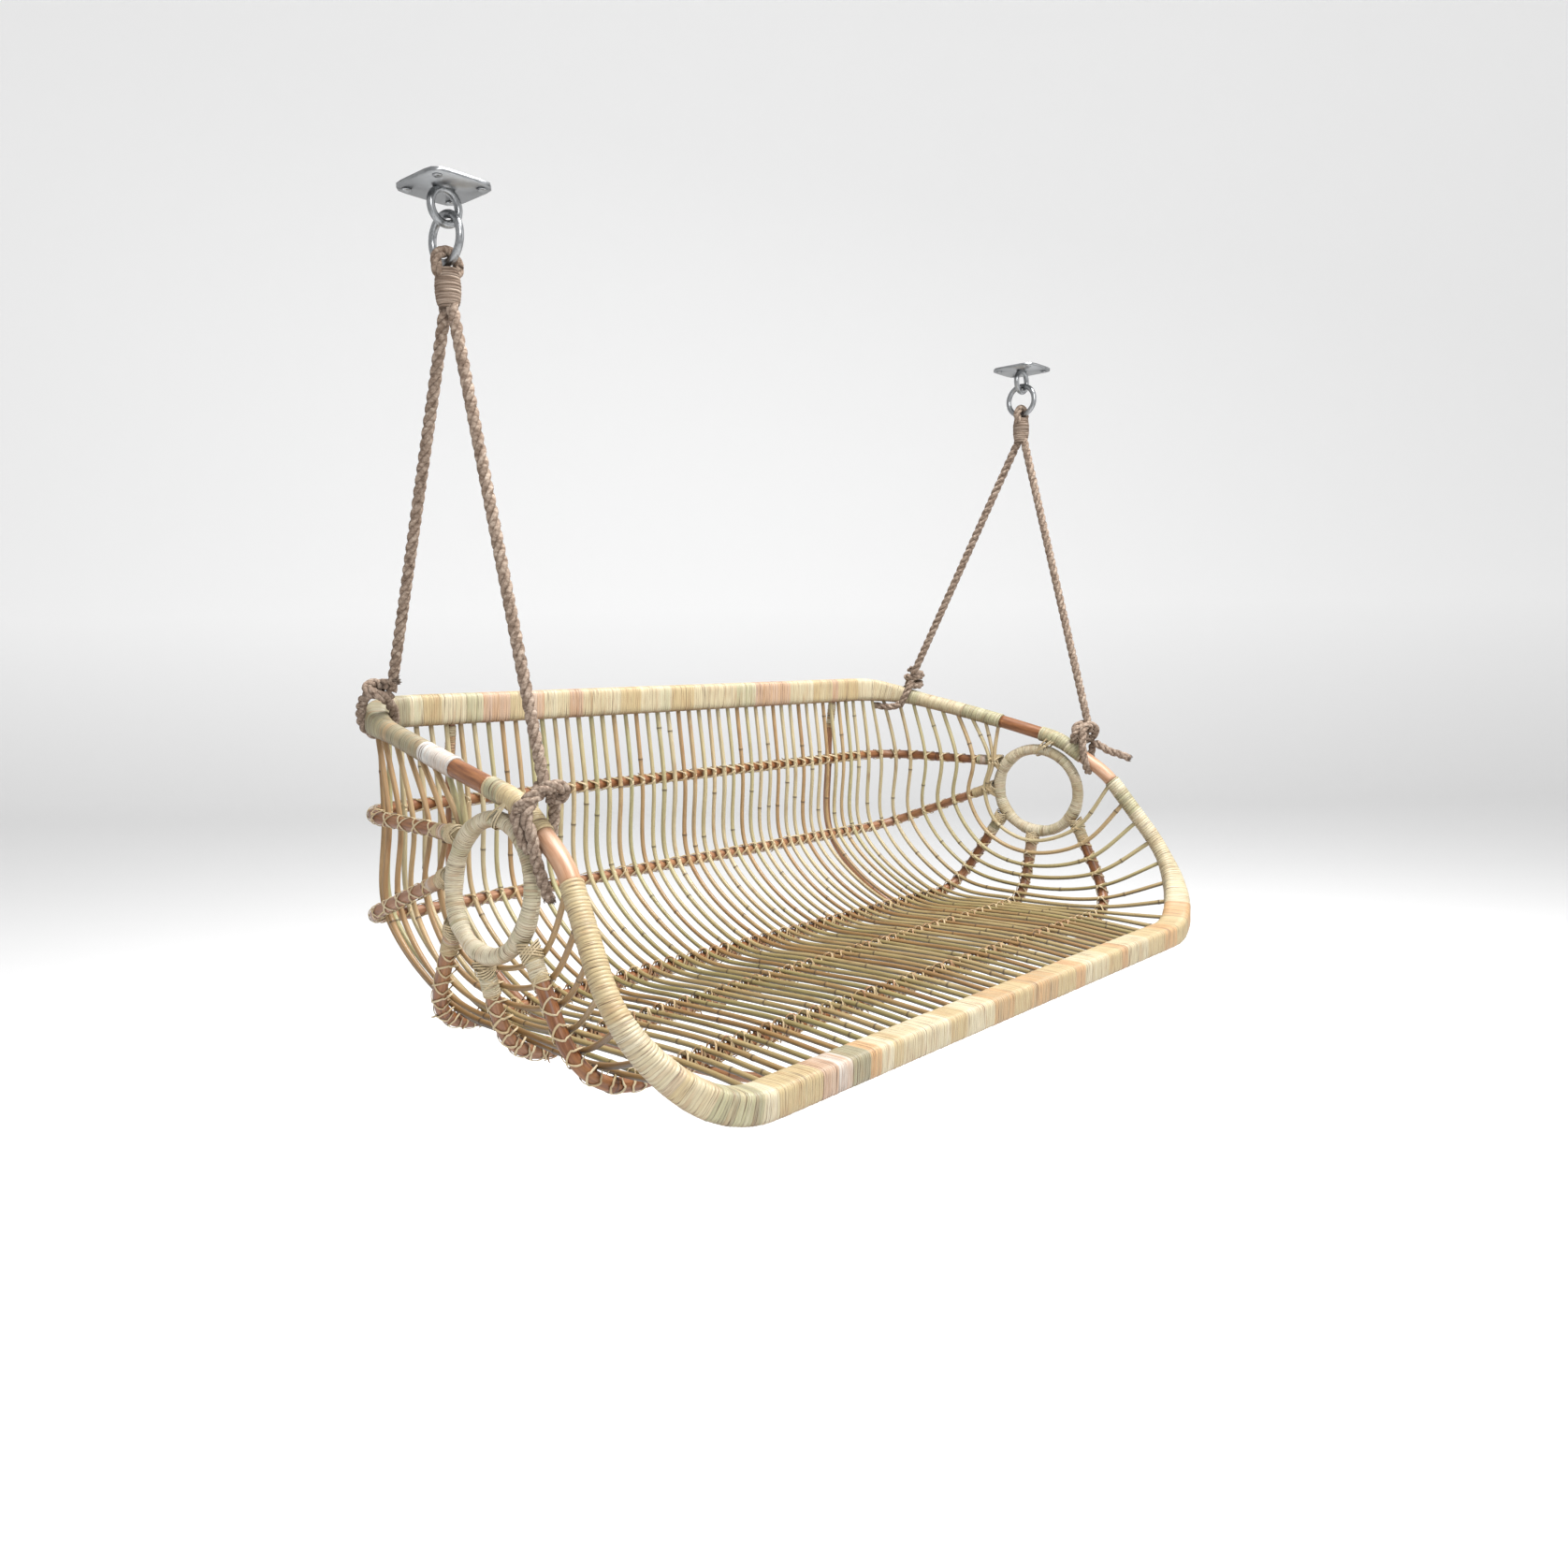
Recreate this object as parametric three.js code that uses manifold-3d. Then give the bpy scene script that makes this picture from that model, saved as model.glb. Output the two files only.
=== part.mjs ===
// A two-seat hanging bench of rattan poles, hung by four ropes from two ceiling fittings.
//
// Units are millimetres, +Z is up, the front of the bench faces -Y, and "left" is the -X side.
// The origin is on the ceiling, midway between the two fittings. The bench itself is drawn in
// its own frame, whose origin is the middle of the back rail, and that frame hangs below.

import * as THREE from 'three';
import { mergeVertices } from 'three/addons/utils/BufferGeometryUtils.js';
import Module from 'manifold-3d';

const wasm = await Module();
wasm.setup();

// ---------------------------------------------------------------- driving dimensions

const GAP = 0.5; // clearance left between pieces that touch

// where the bench hangs
const HANG_X = 694; // each fitting's distance from the middle
const RAIL_Y = 319.5; // the back rail's distance behind the line of the fittings
const RAIL_Z = -640; // the back rail's height below the ceiling

// poles, all given as radii
const FRAME_R = 14;
const RING_POLE_R = 10.5;
const BACK_RIB_R = 9;
const SEAT_RIB_R = 10;
const STRUT_R = 7;
const SPINDLE_R = 4;
const ROPE_R = 7;

// the two wide rails, which are wrapped bands with rounded edges
const BACK_BAND = { length: 1100, depth: 38, height: 47 };
const FRONT_BAND = { length: 1126, depth: 48, height: 40 };
const BAND_EDGE = 12;

// the side of the frame, from the back rail to the front rail, as corner points and how much
// of each leg a corner's bend takes up; the right side is drawn and the left mirrors it
const BACK_CORNER = [652, 0, 0];
const ARM_BEND = [680, -238, -54];
const ARM_END = [687, -417, -101];
const JOINT = [693.5, -466, -135];
const POST_TOP = [700, -515, -169];
const POST_BEND = [736, -632, -337];
const FRONT_CORNER = [640, -695, -444];
const UPPER_BENDS = [100, 100, 45]; // at the back corner and along the arm, up to the joint
const LOWER_BENDS = [45, 77, 77]; // from the joint down the post to the front corner

const LONGEST_BEND = 0.49; // of a leg that one bend may take up

// the ring under each arm
const RING = { centre: [697, -366, -209], radius: 86, lean: [1, 0.06, 0.12] };

// the ribs, from the top of the back to the front of the seat: where each leaves the ring,
// in degrees from straight back, the corner point it turns at, and that corner's bend
const RIBS = [
  { name: 'upper_back_rib', radius: BACK_RIB_R, angle: 43, corner: [670, -2, -143], bend: 105 },
  { name: 'lower_back_rib', radius: BACK_RIB_R, angle: 6, corner: [673, -10, -303], bend: 90 },
  { name: 'rear_seat_rib', radius: SEAT_RIB_R, angle: -30, corner: [673, -183, -436], bend: 139 },
  { name: 'middle_seat_rib', radius: SEAT_RIB_R, angle: -81, corner: [665, -350, -445], bend: 86 },
  { name: 'front_seat_rib', radius: SEAT_RIB_R, angle: -148, corner: [700, -533, -445], bend: 109 },
];
const INTERIOR = [0, -330, -150]; // a point in the sitter's space, which says what is inward

// spindles, counted outward from the middle of the bench on each side
const PITCH = 27; // between neighbours on the straight rails
const EVEN_ON_RAIL = 23; // the last spindle at that pitch along the back rail
const EVEN_ON_RIB = 20; // the last at that pitch along a rib and the front rail
const LAST_ON_RAIL = { index: 31, arc: 911 };
const LAST_ON_RIB = 29;
const LAST_RIB_MARGIN = 12; // from the outermost crossing to the end of the rib
const LAST_POST_MARGIN = 75; // from the outermost spindle's front end to the frame's joint
const MODELLED_SPINDLES = [1, 3, 5, 7, 9, 11, 13, 15, 17, 19, 21, 23, 25, 27, 29];
const STRUT_ARC = 486; // each back strut's distance from the middle of the bench

// ceiling fittings and hanging rings
const PLATE = { width: 90, thickness: 6 };
const EYE = { radius: 20, wire: 5, drop: 26 };
const HANG_RING = { radius: 28, wire: 5 };
const LINK_PLAY = 1.2; // between links of the hanging chain

// the rope's eye at the top and its knots on the frame
const TOP_LOOP_RADIUS = 16;
const WHIPPING = { radius: 16, top: 12, length: 44 };
const ROPE_SPREAD = 8.2; // half the distance between a pair of ropes where they leave the eye
// each knot's place along the arm pole, as a fraction, and how far its bulge stands off the pole,
// towards the rail and towards the middle of the bench
const CORNER_KNOT = { place: 0.274, length: 17, bulge: 14, reach: 50, setback: -10, inset: 12 };
const ARM_KNOT = { place: 1, length: 38, bulge: 16, reach: 46, setback: 16, inset: 0 };
const BULGE_HEIGHT = 1.8; // of a bulge, as a multiple of its radius
const BARREL_EDGE = 0.3; // of a barrel's cut corners, as a fraction of its wall or length
const TURN_THICKNESS = 8; // of the pulled-down turns of rope round the pole
const KNOT_PLAY = 3.4; // between a knot's inside and the pole it is tied round
const ROPE_PLAY = 9; // between a knot's top and the slanted end of its rope
const ROPE_TOP_PLAY = 4.5; // between a rope's slanted top end and the whipping above it

// sides round each kind of bar, and steps along each bend, ring or whole length
const POLE_SIDES = 8;
const STRUT_SIDES = 7;
const SPINDLE_SIDES = 5;
const FRAME_BEND_STEPS = 6;
const RIB_BEND_STEPS = 9;
const SPINDLE_STEPS = 18;
const ROPE_STEPS = 10;
const RING_STEPS = { side: 26, hang: 24, eye: 22, loop: 18 };
const BARREL_SIDES = { whipping: 12, turns: 14, bulge: 10 };
const BAND_CORNER_STEPS = 3;

// ---------------------------------------------------------------- materials

function finish(color, roughness, metalness = 0) {
  return new THREE.MeshStandardMaterial({ color, roughness, metalness });
}

const WRAPPED = finish(0xd9c49a, 0.55);
const BARE_POLE = finish(0x9a5b36, 0.5);
const SPINDLE_CANE = finish(0xc2b184, 0.5);
const HEMP = finish(0x8d8074, 0.95);
const STEEL = finish(0xb5b8ba, 0.35, 1);

// ---------------------------------------------------------------- helpers

const SIDES = { left: -1, right: 1 };
const vector = (p) => new THREE.Vector3(...p);
const onSide = (side, [x, y, z]) => new THREE.Vector3(side * x, y, z);

// a path through corner points, each corner rounded over the given length of both its legs
function bentPath(points, bends) {
  const path = new THREE.CurvePath();
  let start = points[0];
  for (let i = 1; i < points.length - 1; i += 1) {
    const corner = points[i];
    const before = new THREE.Vector3().subVectors(points[i - 1], corner);
    const after = new THREE.Vector3().subVectors(points[i + 1], corner);
    const room = LONGEST_BEND * Math.min(before.length(), after.length());
    const length = Math.min(bends[i - 1], room);
    const bendStart = corner.clone().addScaledVector(before.normalize(), length);
    const bendEnd = corner.clone().addScaledVector(after.normalize(), length);
    path.add(new THREE.LineCurve3(start, bendStart));
    path.add(new THREE.QuadraticBezierCurve3(bendStart, corner, bendEnd));
    start = bendEnd;
  }
  path.add(new THREE.LineCurve3(start, points[points.length - 1]));
  return path;
}

// a curve through the given points that spends the same number of steps between each pair
class StationCurve extends THREE.CatmullRomCurve3 {
  getUtoTmapping(u) {
    return u;
  }
}

// a bent path that spends one step on each straight and the given number on each bend
class SteppedPath extends THREE.Curve {
  constructor(path, bendSteps) {
    super();
    this.spans = path.curves.flatMap((curve) => {
      const count = curve.isLineCurve3 ? 1 : bendSteps;
      return Array.from({ length: count }, (_, i) => ({ curve, start: i / count, size: 1 / count }));
    });
  }

  locate(t) {
    const place = t * this.spans.length;
    const span = this.spans[Math.min(Math.floor(place), this.spans.length - 1)];
    const local = span.start + (place - this.spans.indexOf(span)) * span.size;
    return { curve: span.curve, local: Math.min(local, 1) };
  }

  getPoint(t) {
    const { curve, local } = this.locate(t);
    return curve.getPoint(local);
  }

  getTangent(t) {
    const { curve, local } = this.locate(t);
    return curve.getTangent(local);
  }

  getUtoTmapping(u) {
    return u;
  }
}

function roundSection(radius, sides) {
  const shape = new THREE.Shape();
  for (let i = 0; i < sides; i += 1) {
    const turn = (2 * Math.PI * i) / sides;
    const x = radius * Math.cos(turn);
    const y = radius * Math.sin(turn);
    if (i === 0) shape.moveTo(x, y);
    else shape.lineTo(x, y);
  }
  shape.closePath();
  return shape;
}

function bentTube(path, radius, sides, bendSteps) {
  const stepped = new SteppedPath(path, bendSteps);
  return tube(stepped, radius, sides, stepped.spans.length);
}

function tube(path, radius, sides, steps) {
  const options = { steps, bevelEnabled: false, extrudePath: path };
  return new THREE.ExtrudeGeometry(roundSection(radius, sides), options);
}

function roundedRectangle(width, height, edge) {
  const x = width / 2;
  const y = height / 2;
  const shape = new THREE.Shape();
  shape.moveTo(-x + edge, -y);
  shape.lineTo(x - edge, -y);
  shape.quadraticCurveTo(x, -y, x, -y + edge);
  shape.lineTo(x, y - edge);
  shape.quadraticCurveTo(x, y, x - edge, y);
  shape.lineTo(-x + edge, y);
  shape.quadraticCurveTo(-x, y, -x, y - edge);
  shape.lineTo(-x, -y + edge);
  shape.quadraticCurveTo(-x, -y, -x + edge, -y);
  return shape;
}

function toManifold(geometry) {
  const bare = geometry.clone();
  bare.deleteAttribute('normal');
  bare.deleteAttribute('uv');
  const merged = mergeVertices(bare);
  const index = merged.index.array;
  const triangles = [];
  for (let i = 0; i < index.length; i += 3) {
    const [a, b, c] = [index[i], index[i + 1], index[i + 2]];
    if (a !== b && b !== c && c !== a) triangles.push(a, b, c);
  }
  const vertProperties = new Float32Array(merged.attributes.position.array);
  const triVerts = new Uint32Array(triangles);
  return new wasm.Manifold(new wasm.Mesh({ numProp: 3, vertProperties, triVerts }));
}

function joined(...geometries) {
  const solid = geometries.map(toManifold).reduce((sum, next) => sum.add(next));
  const { vertProperties, triVerts } = solid.getMesh();
  const geometry = new THREE.BufferGeometry();
  geometry.setAttribute('position', new THREE.Float32BufferAttribute(vertProperties, 3));
  geometry.setIndex(Array.from(triVerts));
  return geometry;
}

// turns a geometry whose axis is +Z so that the axis points along a direction, then moves it
function placed(geometry, direction, position) {
  const turn = new THREE.Quaternion().setFromUnitVectors(
    new THREE.Vector3(0, 0, 1),
    direction.clone().normalize(),
  );
  return geometry.applyQuaternion(turn).translate(position.x, position.y, position.z);
}

// a barrel round the Z axis: solid, or a sleeve when it has a bore
function barrel(bore, radius, length, segments) {
  const edge = Math.min(radius - bore, length) * BARREL_EDGE;
  const half = length / 2;
  const outer = [
    new THREE.Vector2(bore, -half),
    new THREE.Vector2(radius - edge, -half),
    new THREE.Vector2(radius, -half + edge),
    new THREE.Vector2(radius, half - edge),
    new THREE.Vector2(radius - edge, half),
    new THREE.Vector2(bore, half),
  ];
  if (bore > 0) outer.push(outer[0].clone());
  return new THREE.LatheGeometry(outer, segments).rotateX(Math.PI / 2);
}

// a node, with its geometry drawn in the given group's frame
function addPiece(group, name, geometry, material) {
  const mesh = new THREE.Mesh(geometry, material);
  mesh.name = name;
  group.add(mesh);
}

// ---------------------------------------------------------------- the bench's curves

function upperSide(side) {
  const start = onSide(side, [BACK_BAND.length / 2 + GAP, 0, 0]);
  const corners = [BACK_CORNER, ARM_BEND, ARM_END, JOINT].map((p) => onSide(side, p));
  return bentPath([start, ...corners], UPPER_BENDS);
}

function lowerSide(side) {
  const end = onSide(side, [FRONT_BAND.length / 2 + GAP, FRONT_CORNER[1], FRONT_CORNER[2]]);
  const corners = [JOINT, POST_TOP, POST_BEND, FRONT_CORNER].map((p) => onSide(side, p));
  return bentPath([...corners, end], LOWER_BENDS);
}

function ringFrame(side) {
  const normal = onSide(side, RING.lean).normalize();
  const back = new THREE.Vector3(0, 1, 0).projectOnPlane(normal).normalize();
  const up = new THREE.Vector3(0, 0, 1).projectOnPlane(normal).projectOnPlane(back).normalize();
  return { centre: onSide(side, RING.centre), normal, back, up };
}

// where a slanting member of the given radius ends, just clear of the frame member it meets
function buttEnd({ point, tangent }, way, reach, radius) {
  const cosine = Math.abs(tangent.dot(way));
  const sine = Math.sqrt(1 - cosine * cosine);
  const distance = (reach + 2 * GAP + radius * cosine) / sine;
  return point.clone().addScaledVector(way, distance);
}

// where a rib ends, butted against the ring at its angle
function ribEnd(rib, side) {
  const { centre, normal, back, up } = ringFrame(side);
  const angle = THREE.MathUtils.degToRad(rib.angle);
  const outward = back.multiplyScalar(Math.cos(angle)).addScaledVector(up, Math.sin(angle));
  const tangent = new THREE.Vector3().crossVectors(normal, outward);
  const point = centre.addScaledVector(outward, RING.radius);
  const way = onSide(side, rib.corner).sub(point).normalize();
  return buttEnd({ point, tangent }, way, RING_POLE_R, rib.radius);
}

function ribPath(rib) {
  const corners = [SIDES.left, SIDES.right].map((side) => onSide(side, rib.corner));
  const points = [ribEnd(rib, SIDES.left), ...corners, ribEnd(rib, SIDES.right)];
  return bentPath(points, [rib.bend, rib.bend]);
}

const ribPaths = RIBS.map(ribPath);

// the frame's two halves as whole centre lines, on which the spindles' ends are measured out
const mirrored = (points, bends) => {
  const left = points.map(([x, y, z]) => new THREE.Vector3(-x, y, z));
  const right = points.map(vector).reverse();
  return bentPath([...left, ...right], [...bends, ...[...bends].reverse()]);
};
const upperFrame = mirrored([JOINT, ARM_END, ARM_BEND, BACK_CORNER], [...UPPER_BENDS].reverse());
const lowerFrame = mirrored([JOINT, POST_TOP, POST_BEND, FRONT_CORNER], LOWER_BENDS);

// a point at a signed distance along a curve, measured from its middle
function fromMiddle(path, arc) {
  const u = 0.5 + arc / path.getLength();
  return { point: path.getPointAt(u), tangent: path.getTangentAt(u) };
}

function spacedArc(index, even, last, lastArc) {
  const evenArc = (even + 0.5) * PITCH;
  if (index <= even) return (index + 0.5) * PITCH;
  return evenArc + ((lastArc - evenArc) * (index - even)) / (last - even);
}

// where a spindle crosses the back rail or arm, each rib, and the front rail or post
function spindleArcs(index) {
  const top = spacedArc(index, EVEN_ON_RAIL, LAST_ON_RAIL.index, LAST_ON_RAIL.arc);
  const crossings = ribPaths.map((path) => {
    const lastArc = path.getLength() / 2 - LAST_RIB_MARGIN;
    return spacedArc(index, EVEN_ON_RIB, LAST_ON_RIB, lastArc);
  });
  const lastPost = lowerFrame.getLength() / 2 - LAST_POST_MARGIN;
  const bottom = spacedArc(index, EVEN_ON_RIB, LAST_ON_RIB, lastPost);
  return { top, crossings, bottom };
}

// a member that crosses all the ribs, on their inner side or (with inward -1) their outer side
function crossingPath(side, arcs, radius, inward) {
  const top = fromMiddle(upperFrame, side * arcs.top);
  const bottom = fromMiddle(lowerFrame, side * arcs.bottom);
  const feet = arcs.crossings.map((arc, k) => fromMiddle(ribPaths[k], side * arc));
  const line = [top, ...feet, bottom].map((foot) => foot.point);
  const stations = feet.map(({ point, tangent }, k) => {
    const along = new THREE.Vector3().subVectors(line[k + 2], line[k]);
    const normal = new THREE.Vector3().crossVectors(tangent, along).normalize();
    const inside = vector(INTERIOR).setX(point.x / 2).sub(point);
    const distance = RIBS[k].radius + radius + 2 * GAP;
    const sign = Math.sign(normal.dot(inside)) * inward;
    return point.clone().addScaledVector(normal, sign * distance);
  });
  const first = stations[0].clone().sub(top.point).normalize();
  const last = stations[stations.length - 1].clone().sub(bottom.point).normalize();
  const topReach = arcs.top < BACK_BAND.length / 2 ? BACK_BAND.height / 2 : FRAME_R;
  const bottomReach = arcs.bottom < FRONT_BAND.length / 2 ? FRONT_BAND.depth / 2 : FRAME_R;
  const start = buttEnd(top, first, topReach, radius);
  const end = buttEnd(bottom, last, bottomReach, radius);
  return new StationCurve([start, ...stations, end], false, 'centripetal');
}

// ---------------------------------------------------------------- the bench

const bench = new THREE.Group();
bench.position.set(0, RAIL_Y, RAIL_Z);

function addBand(name, band, y, z) {
  const options = { depth: band.length, bevelEnabled: false, curveSegments: BAND_CORNER_STEPS };
  const section = roundedRectangle(band.height, band.depth, BAND_EDGE);
  const geometry = new THREE.ExtrudeGeometry(section, options);
  geometry.translate(0, 0, -band.length / 2).rotateY(Math.PI / 2).translate(0, y, z);
  addPiece(bench, name, geometry, WRAPPED);
}

addBand('back_rail', BACK_BAND, 0, 0);
addBand('front_rail', FRONT_BAND, FRONT_CORNER[1], FRONT_CORNER[2]);

for (const [word, side] of Object.entries(SIDES)) {
  const arm = bentTube(upperSide(side), FRAME_R, POLE_SIDES, FRAME_BEND_STEPS);
  addPiece(bench, `${word}_arm_pole`, arm, WRAPPED);
  const post = bentTube(lowerSide(side), FRAME_R, POLE_SIDES, FRAME_BEND_STEPS);
  addPiece(bench, `${word}_front_pole`, post, WRAPPED);

  const { centre, normal } = ringFrame(side);
  const ring = new THREE.TorusGeometry(RING.radius, RING_POLE_R, POLE_SIDES, RING_STEPS.side);
  addPiece(bench, `${word}_side_ring`, placed(ring, normal, centre), WRAPPED);

  const strutArcs = { top: STRUT_ARC, crossings: RIBS.map(() => STRUT_ARC), bottom: STRUT_ARC };
  const strutPath = crossingPath(side, strutArcs, STRUT_R, -1);
  const strut = tube(strutPath, STRUT_R, STRUT_SIDES, SPINDLE_STEPS);
  addPiece(bench, `${word}_back_strut`, strut, BARE_POLE);

  for (const index of MODELLED_SPINDLES) {
    const path = crossingPath(side, spindleArcs(index), SPINDLE_R, 1);
    const number = String(index).padStart(2, '0');
    const spindle = tube(path, SPINDLE_R, SPINDLE_SIDES, SPINDLE_STEPS);
    addPiece(bench, `${word}_spindle_${number}`, spindle, SPINDLE_CANE);
  }
}

RIBS.forEach((rib, k) => {
  const pole = bentTube(ribPaths[k], rib.radius, POLE_SIDES, RIB_BEND_STEPS);
  addPiece(bench, rib.name, pole, BARE_POLE);
});

// ---------------------------------------------------------------- ceiling fittings and rings

const eyeBottom = -EYE.drop - EYE.radius;
const hangRingZ = eyeBottom + EYE.wire + HANG_RING.wire + LINK_PLAY - HANG_RING.radius;
const hangRingBottom = hangRingZ - HANG_RING.radius;
const loopTop = hangRingBottom + HANG_RING.wire + ROPE_R + LINK_PLAY;
const loopZ = loopTop - TOP_LOOP_RADIUS;
const whippingTop = loopZ - TOP_LOOP_RADIUS + WHIPPING.top;
const ropeTop = whippingTop - WHIPPING.length - ROPE_TOP_PLAY;

const hanging = new THREE.Group();

function ceilingFitting() {
  const { width, thickness } = PLATE;
  const plate = new THREE.BoxGeometry(width, width, thickness).translate(0, 0, -thickness / 2);
  const eye = new THREE.TorusGeometry(EYE.radius, EYE.wire, POLE_SIDES, RING_STEPS.eye);
  eye.rotateX(Math.PI / 2).translate(0, 0, -EYE.drop);
  return joined(plate, eye);
}

function hangingRing() {
  const { radius, wire } = HANG_RING;
  const ring = new THREE.TorusGeometry(radius, wire, POLE_SIDES, RING_STEPS.hang);
  return ring.rotateY(Math.PI / 2).translate(0, 0, hangRingZ);
}

function topLoop() {
  const loop = new THREE.TorusGeometry(TOP_LOOP_RADIUS, ROPE_R, POLE_SIDES, RING_STEPS.loop);
  loop.rotateX(Math.PI / 2).translate(0, 0, loopZ);
  const whipping = barrel(0, WHIPPING.radius, WHIPPING.length, BARREL_SIDES.whipping);
  whipping.translate(0, 0, whippingTop - WHIPPING.length / 2);
  return joined(loop, whipping);
}

// a knot: turns of rope round a pole, with a bulge on the side that its rope goes up from
function knot(spec, side, ropeTarget) {
  const path = upperSide(side);
  const centre = path.getPointAt(spec.place);
  const along = path.getTangentAt(spec.place);
  const ropeWay = ropeTarget.clone().sub(centre).normalize();
  const up = ropeWay.clone().projectOnPlane(along).normalize();
  const bore = FRAME_R + KNOT_PLAY;
  const turns = barrel(bore, bore + TURN_THICKNESS, spec.length, BARREL_SIDES.turns);
  const height = BULGE_HEIGHT * spec.bulge;
  const bulge = barrel(0, spec.bulge, height, BARREL_SIDES.bulge);
  const bulgeTop = centre.clone().addScaledVector(up, spec.reach);
  bulgeTop.addScaledVector(along, -spec.setback);
  bulgeTop.x -= side * spec.inset;
  const bulgeCentre = bulgeTop.clone().addScaledVector(up, -height / 2);
  return {
    geometry: joined(placed(turns, along, centre), placed(bulge, up, bulgeCentre)),
    mouth: bulgeTop.addScaledVector(ropeWay, ROPE_PLAY),
  };
}

for (const [word, side] of Object.entries(SIDES)) {
  const hangPoint = new THREE.Vector3(side * HANG_X, 0, 0);
  const atFitting = (geometry) => geometry.translate(hangPoint.x, 0, 0);
  addPiece(hanging, `${word}_ceiling_eye_plate`, atFitting(ceilingFitting()), STEEL);
  addPiece(hanging, `${word}_hang_ring`, atFitting(hangingRing()), STEEL);
  addPiece(hanging, `${word}_top_loop`, atFitting(topLoop()), HEMP);

  const ropes = [
    { word: 'back', spec: CORNER_KNOT, topY: ROPE_SPREAD },
    { word: 'front', spec: ARM_KNOT, topY: -ROPE_SPREAD },
  ];
  for (const rope of ropes) {
    const top = new THREE.Vector3(hangPoint.x, rope.topY, ropeTop);
    const { geometry, mouth } = knot(rope.spec, side, top.clone().sub(bench.position));
    addPiece(bench, `${word}_${rope.word}_knot`, geometry, HEMP);
    const path = new THREE.LineCurve3(top, mouth.add(bench.position));
    addPiece(hanging, `${word}_${rope.word}_rope`, tube(path, ROPE_R, POLE_SIDES, ROPE_STEPS), HEMP);
  }
}

const hangingBench = new THREE.Group();
hangingBench.add(hanging, bench);

export default hangingBench;
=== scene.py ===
"""A hanging bench of wrapped cane poles and close spindles on four twisted ropes.

Lengths inside the script are millimetres. The bench is drawn in its own frame, whose origin is
the middle of the back rail (+X right, +Y back, +Z up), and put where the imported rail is.
"""

import math

import bpy
import numpy as np
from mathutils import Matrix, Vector


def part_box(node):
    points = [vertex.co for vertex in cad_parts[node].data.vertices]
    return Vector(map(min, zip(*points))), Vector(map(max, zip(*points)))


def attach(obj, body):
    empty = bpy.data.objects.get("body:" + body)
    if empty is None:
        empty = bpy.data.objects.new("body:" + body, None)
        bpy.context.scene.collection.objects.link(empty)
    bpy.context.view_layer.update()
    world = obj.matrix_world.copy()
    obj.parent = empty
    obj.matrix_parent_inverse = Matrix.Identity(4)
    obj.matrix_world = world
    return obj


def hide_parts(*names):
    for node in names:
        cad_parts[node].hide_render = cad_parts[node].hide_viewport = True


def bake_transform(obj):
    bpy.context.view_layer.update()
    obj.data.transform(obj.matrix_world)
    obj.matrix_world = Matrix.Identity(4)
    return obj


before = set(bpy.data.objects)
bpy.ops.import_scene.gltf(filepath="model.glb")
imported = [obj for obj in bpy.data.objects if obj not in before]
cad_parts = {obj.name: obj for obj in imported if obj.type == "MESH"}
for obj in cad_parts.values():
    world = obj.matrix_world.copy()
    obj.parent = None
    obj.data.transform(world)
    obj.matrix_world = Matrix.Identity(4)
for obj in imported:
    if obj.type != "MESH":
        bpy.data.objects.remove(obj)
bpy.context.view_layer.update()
RNG = np.random.default_rng(11)

MM = 0.001
X, Y, Z = np.eye(3)
rail_low, rail_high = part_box("back_rail")
RAIL = np.array([(a + b) / 2 for a, b in zip(rail_low, rail_high)]) / MM
CEILING = np.zeros(3)

# ------------------------------------------------------------------ camera

CAMERA_PLACE = (-1634.5, -1615.0, 68.8)  # from the middle of the back rail
CAMERA_HEADING = -47.37
CAMERA_PITCH = -6.55
CAMERA_ROLL = 0.92
CAMERA_LENS = 28.67
CAMERA_SHIFT = (0.0436, 0.0123)


def add_camera():
    data = bpy.data.cameras.new("camera")
    data.lens = CAMERA_LENS
    data.sensor_width = 36
    data.shift_x, data.shift_y = CAMERA_SHIFT
    camera = bpy.data.objects.new("camera", data)
    bpy.context.collection.objects.link(camera)
    camera.location = (np.array(CAMERA_PLACE) + RAIL) * MM
    angles = (90 + CAMERA_PITCH, CAMERA_ROLL, CAMERA_HEADING)
    camera.rotation_euler = [math.radians(a) for a in angles]
    bpy.context.scene.camera = camera


add_camera()

# ------------------------------------------------------------------ dimensions, as in the CAD

GAP = 0.5
FRAME_R = 14
RING_POLE_R = 10.5
STRUT_R = 7
SPINDLE_R = 4
BACK_BAND = {"half": 550, "depth": 38, "height": 47}
FRONT_BAND = {"half": 563, "depth": 48, "height": 40}

BACK_CORNER = (652, 0, 0)
ARM_BEND = (680, -238, -54)
ARM_END = (687, -417, -101)
JOINT = (693.5, -466, -135)
POST_TOP = (700, -515, -169)
POST_BEND = (736, -632, -337)
FRONT_CORNER = (640, -695, -444)
UPPER = ([JOINT, ARM_END, ARM_BEND, BACK_CORNER], [45, 100, 100])
LOWER = ([JOINT, POST_TOP, POST_BEND, FRONT_CORNER], [45, 77, 77])

RING_CENTRE = (697, -366, -209)
RING_RADIUS = 86
RING_LEAN = (1, 0.06, 0.12)

# name, radius, angle on the ring, corner, bend
RIBS = [
    ("upper_back_rib", 9, 43, (670, -2, -143), 105),
    ("lower_back_rib", 9, 6, (673, -10, -303), 90),
    ("rear_seat_rib", 10, -30, (673, -183, -436), 139),
    ("middle_seat_rib", 10, -81, (665, -350, -445), 86),
    ("front_seat_rib", 10, -148, (700, -533, -445), 109),
]
INTERIOR = np.array([0, -330, -150.0])

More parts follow.
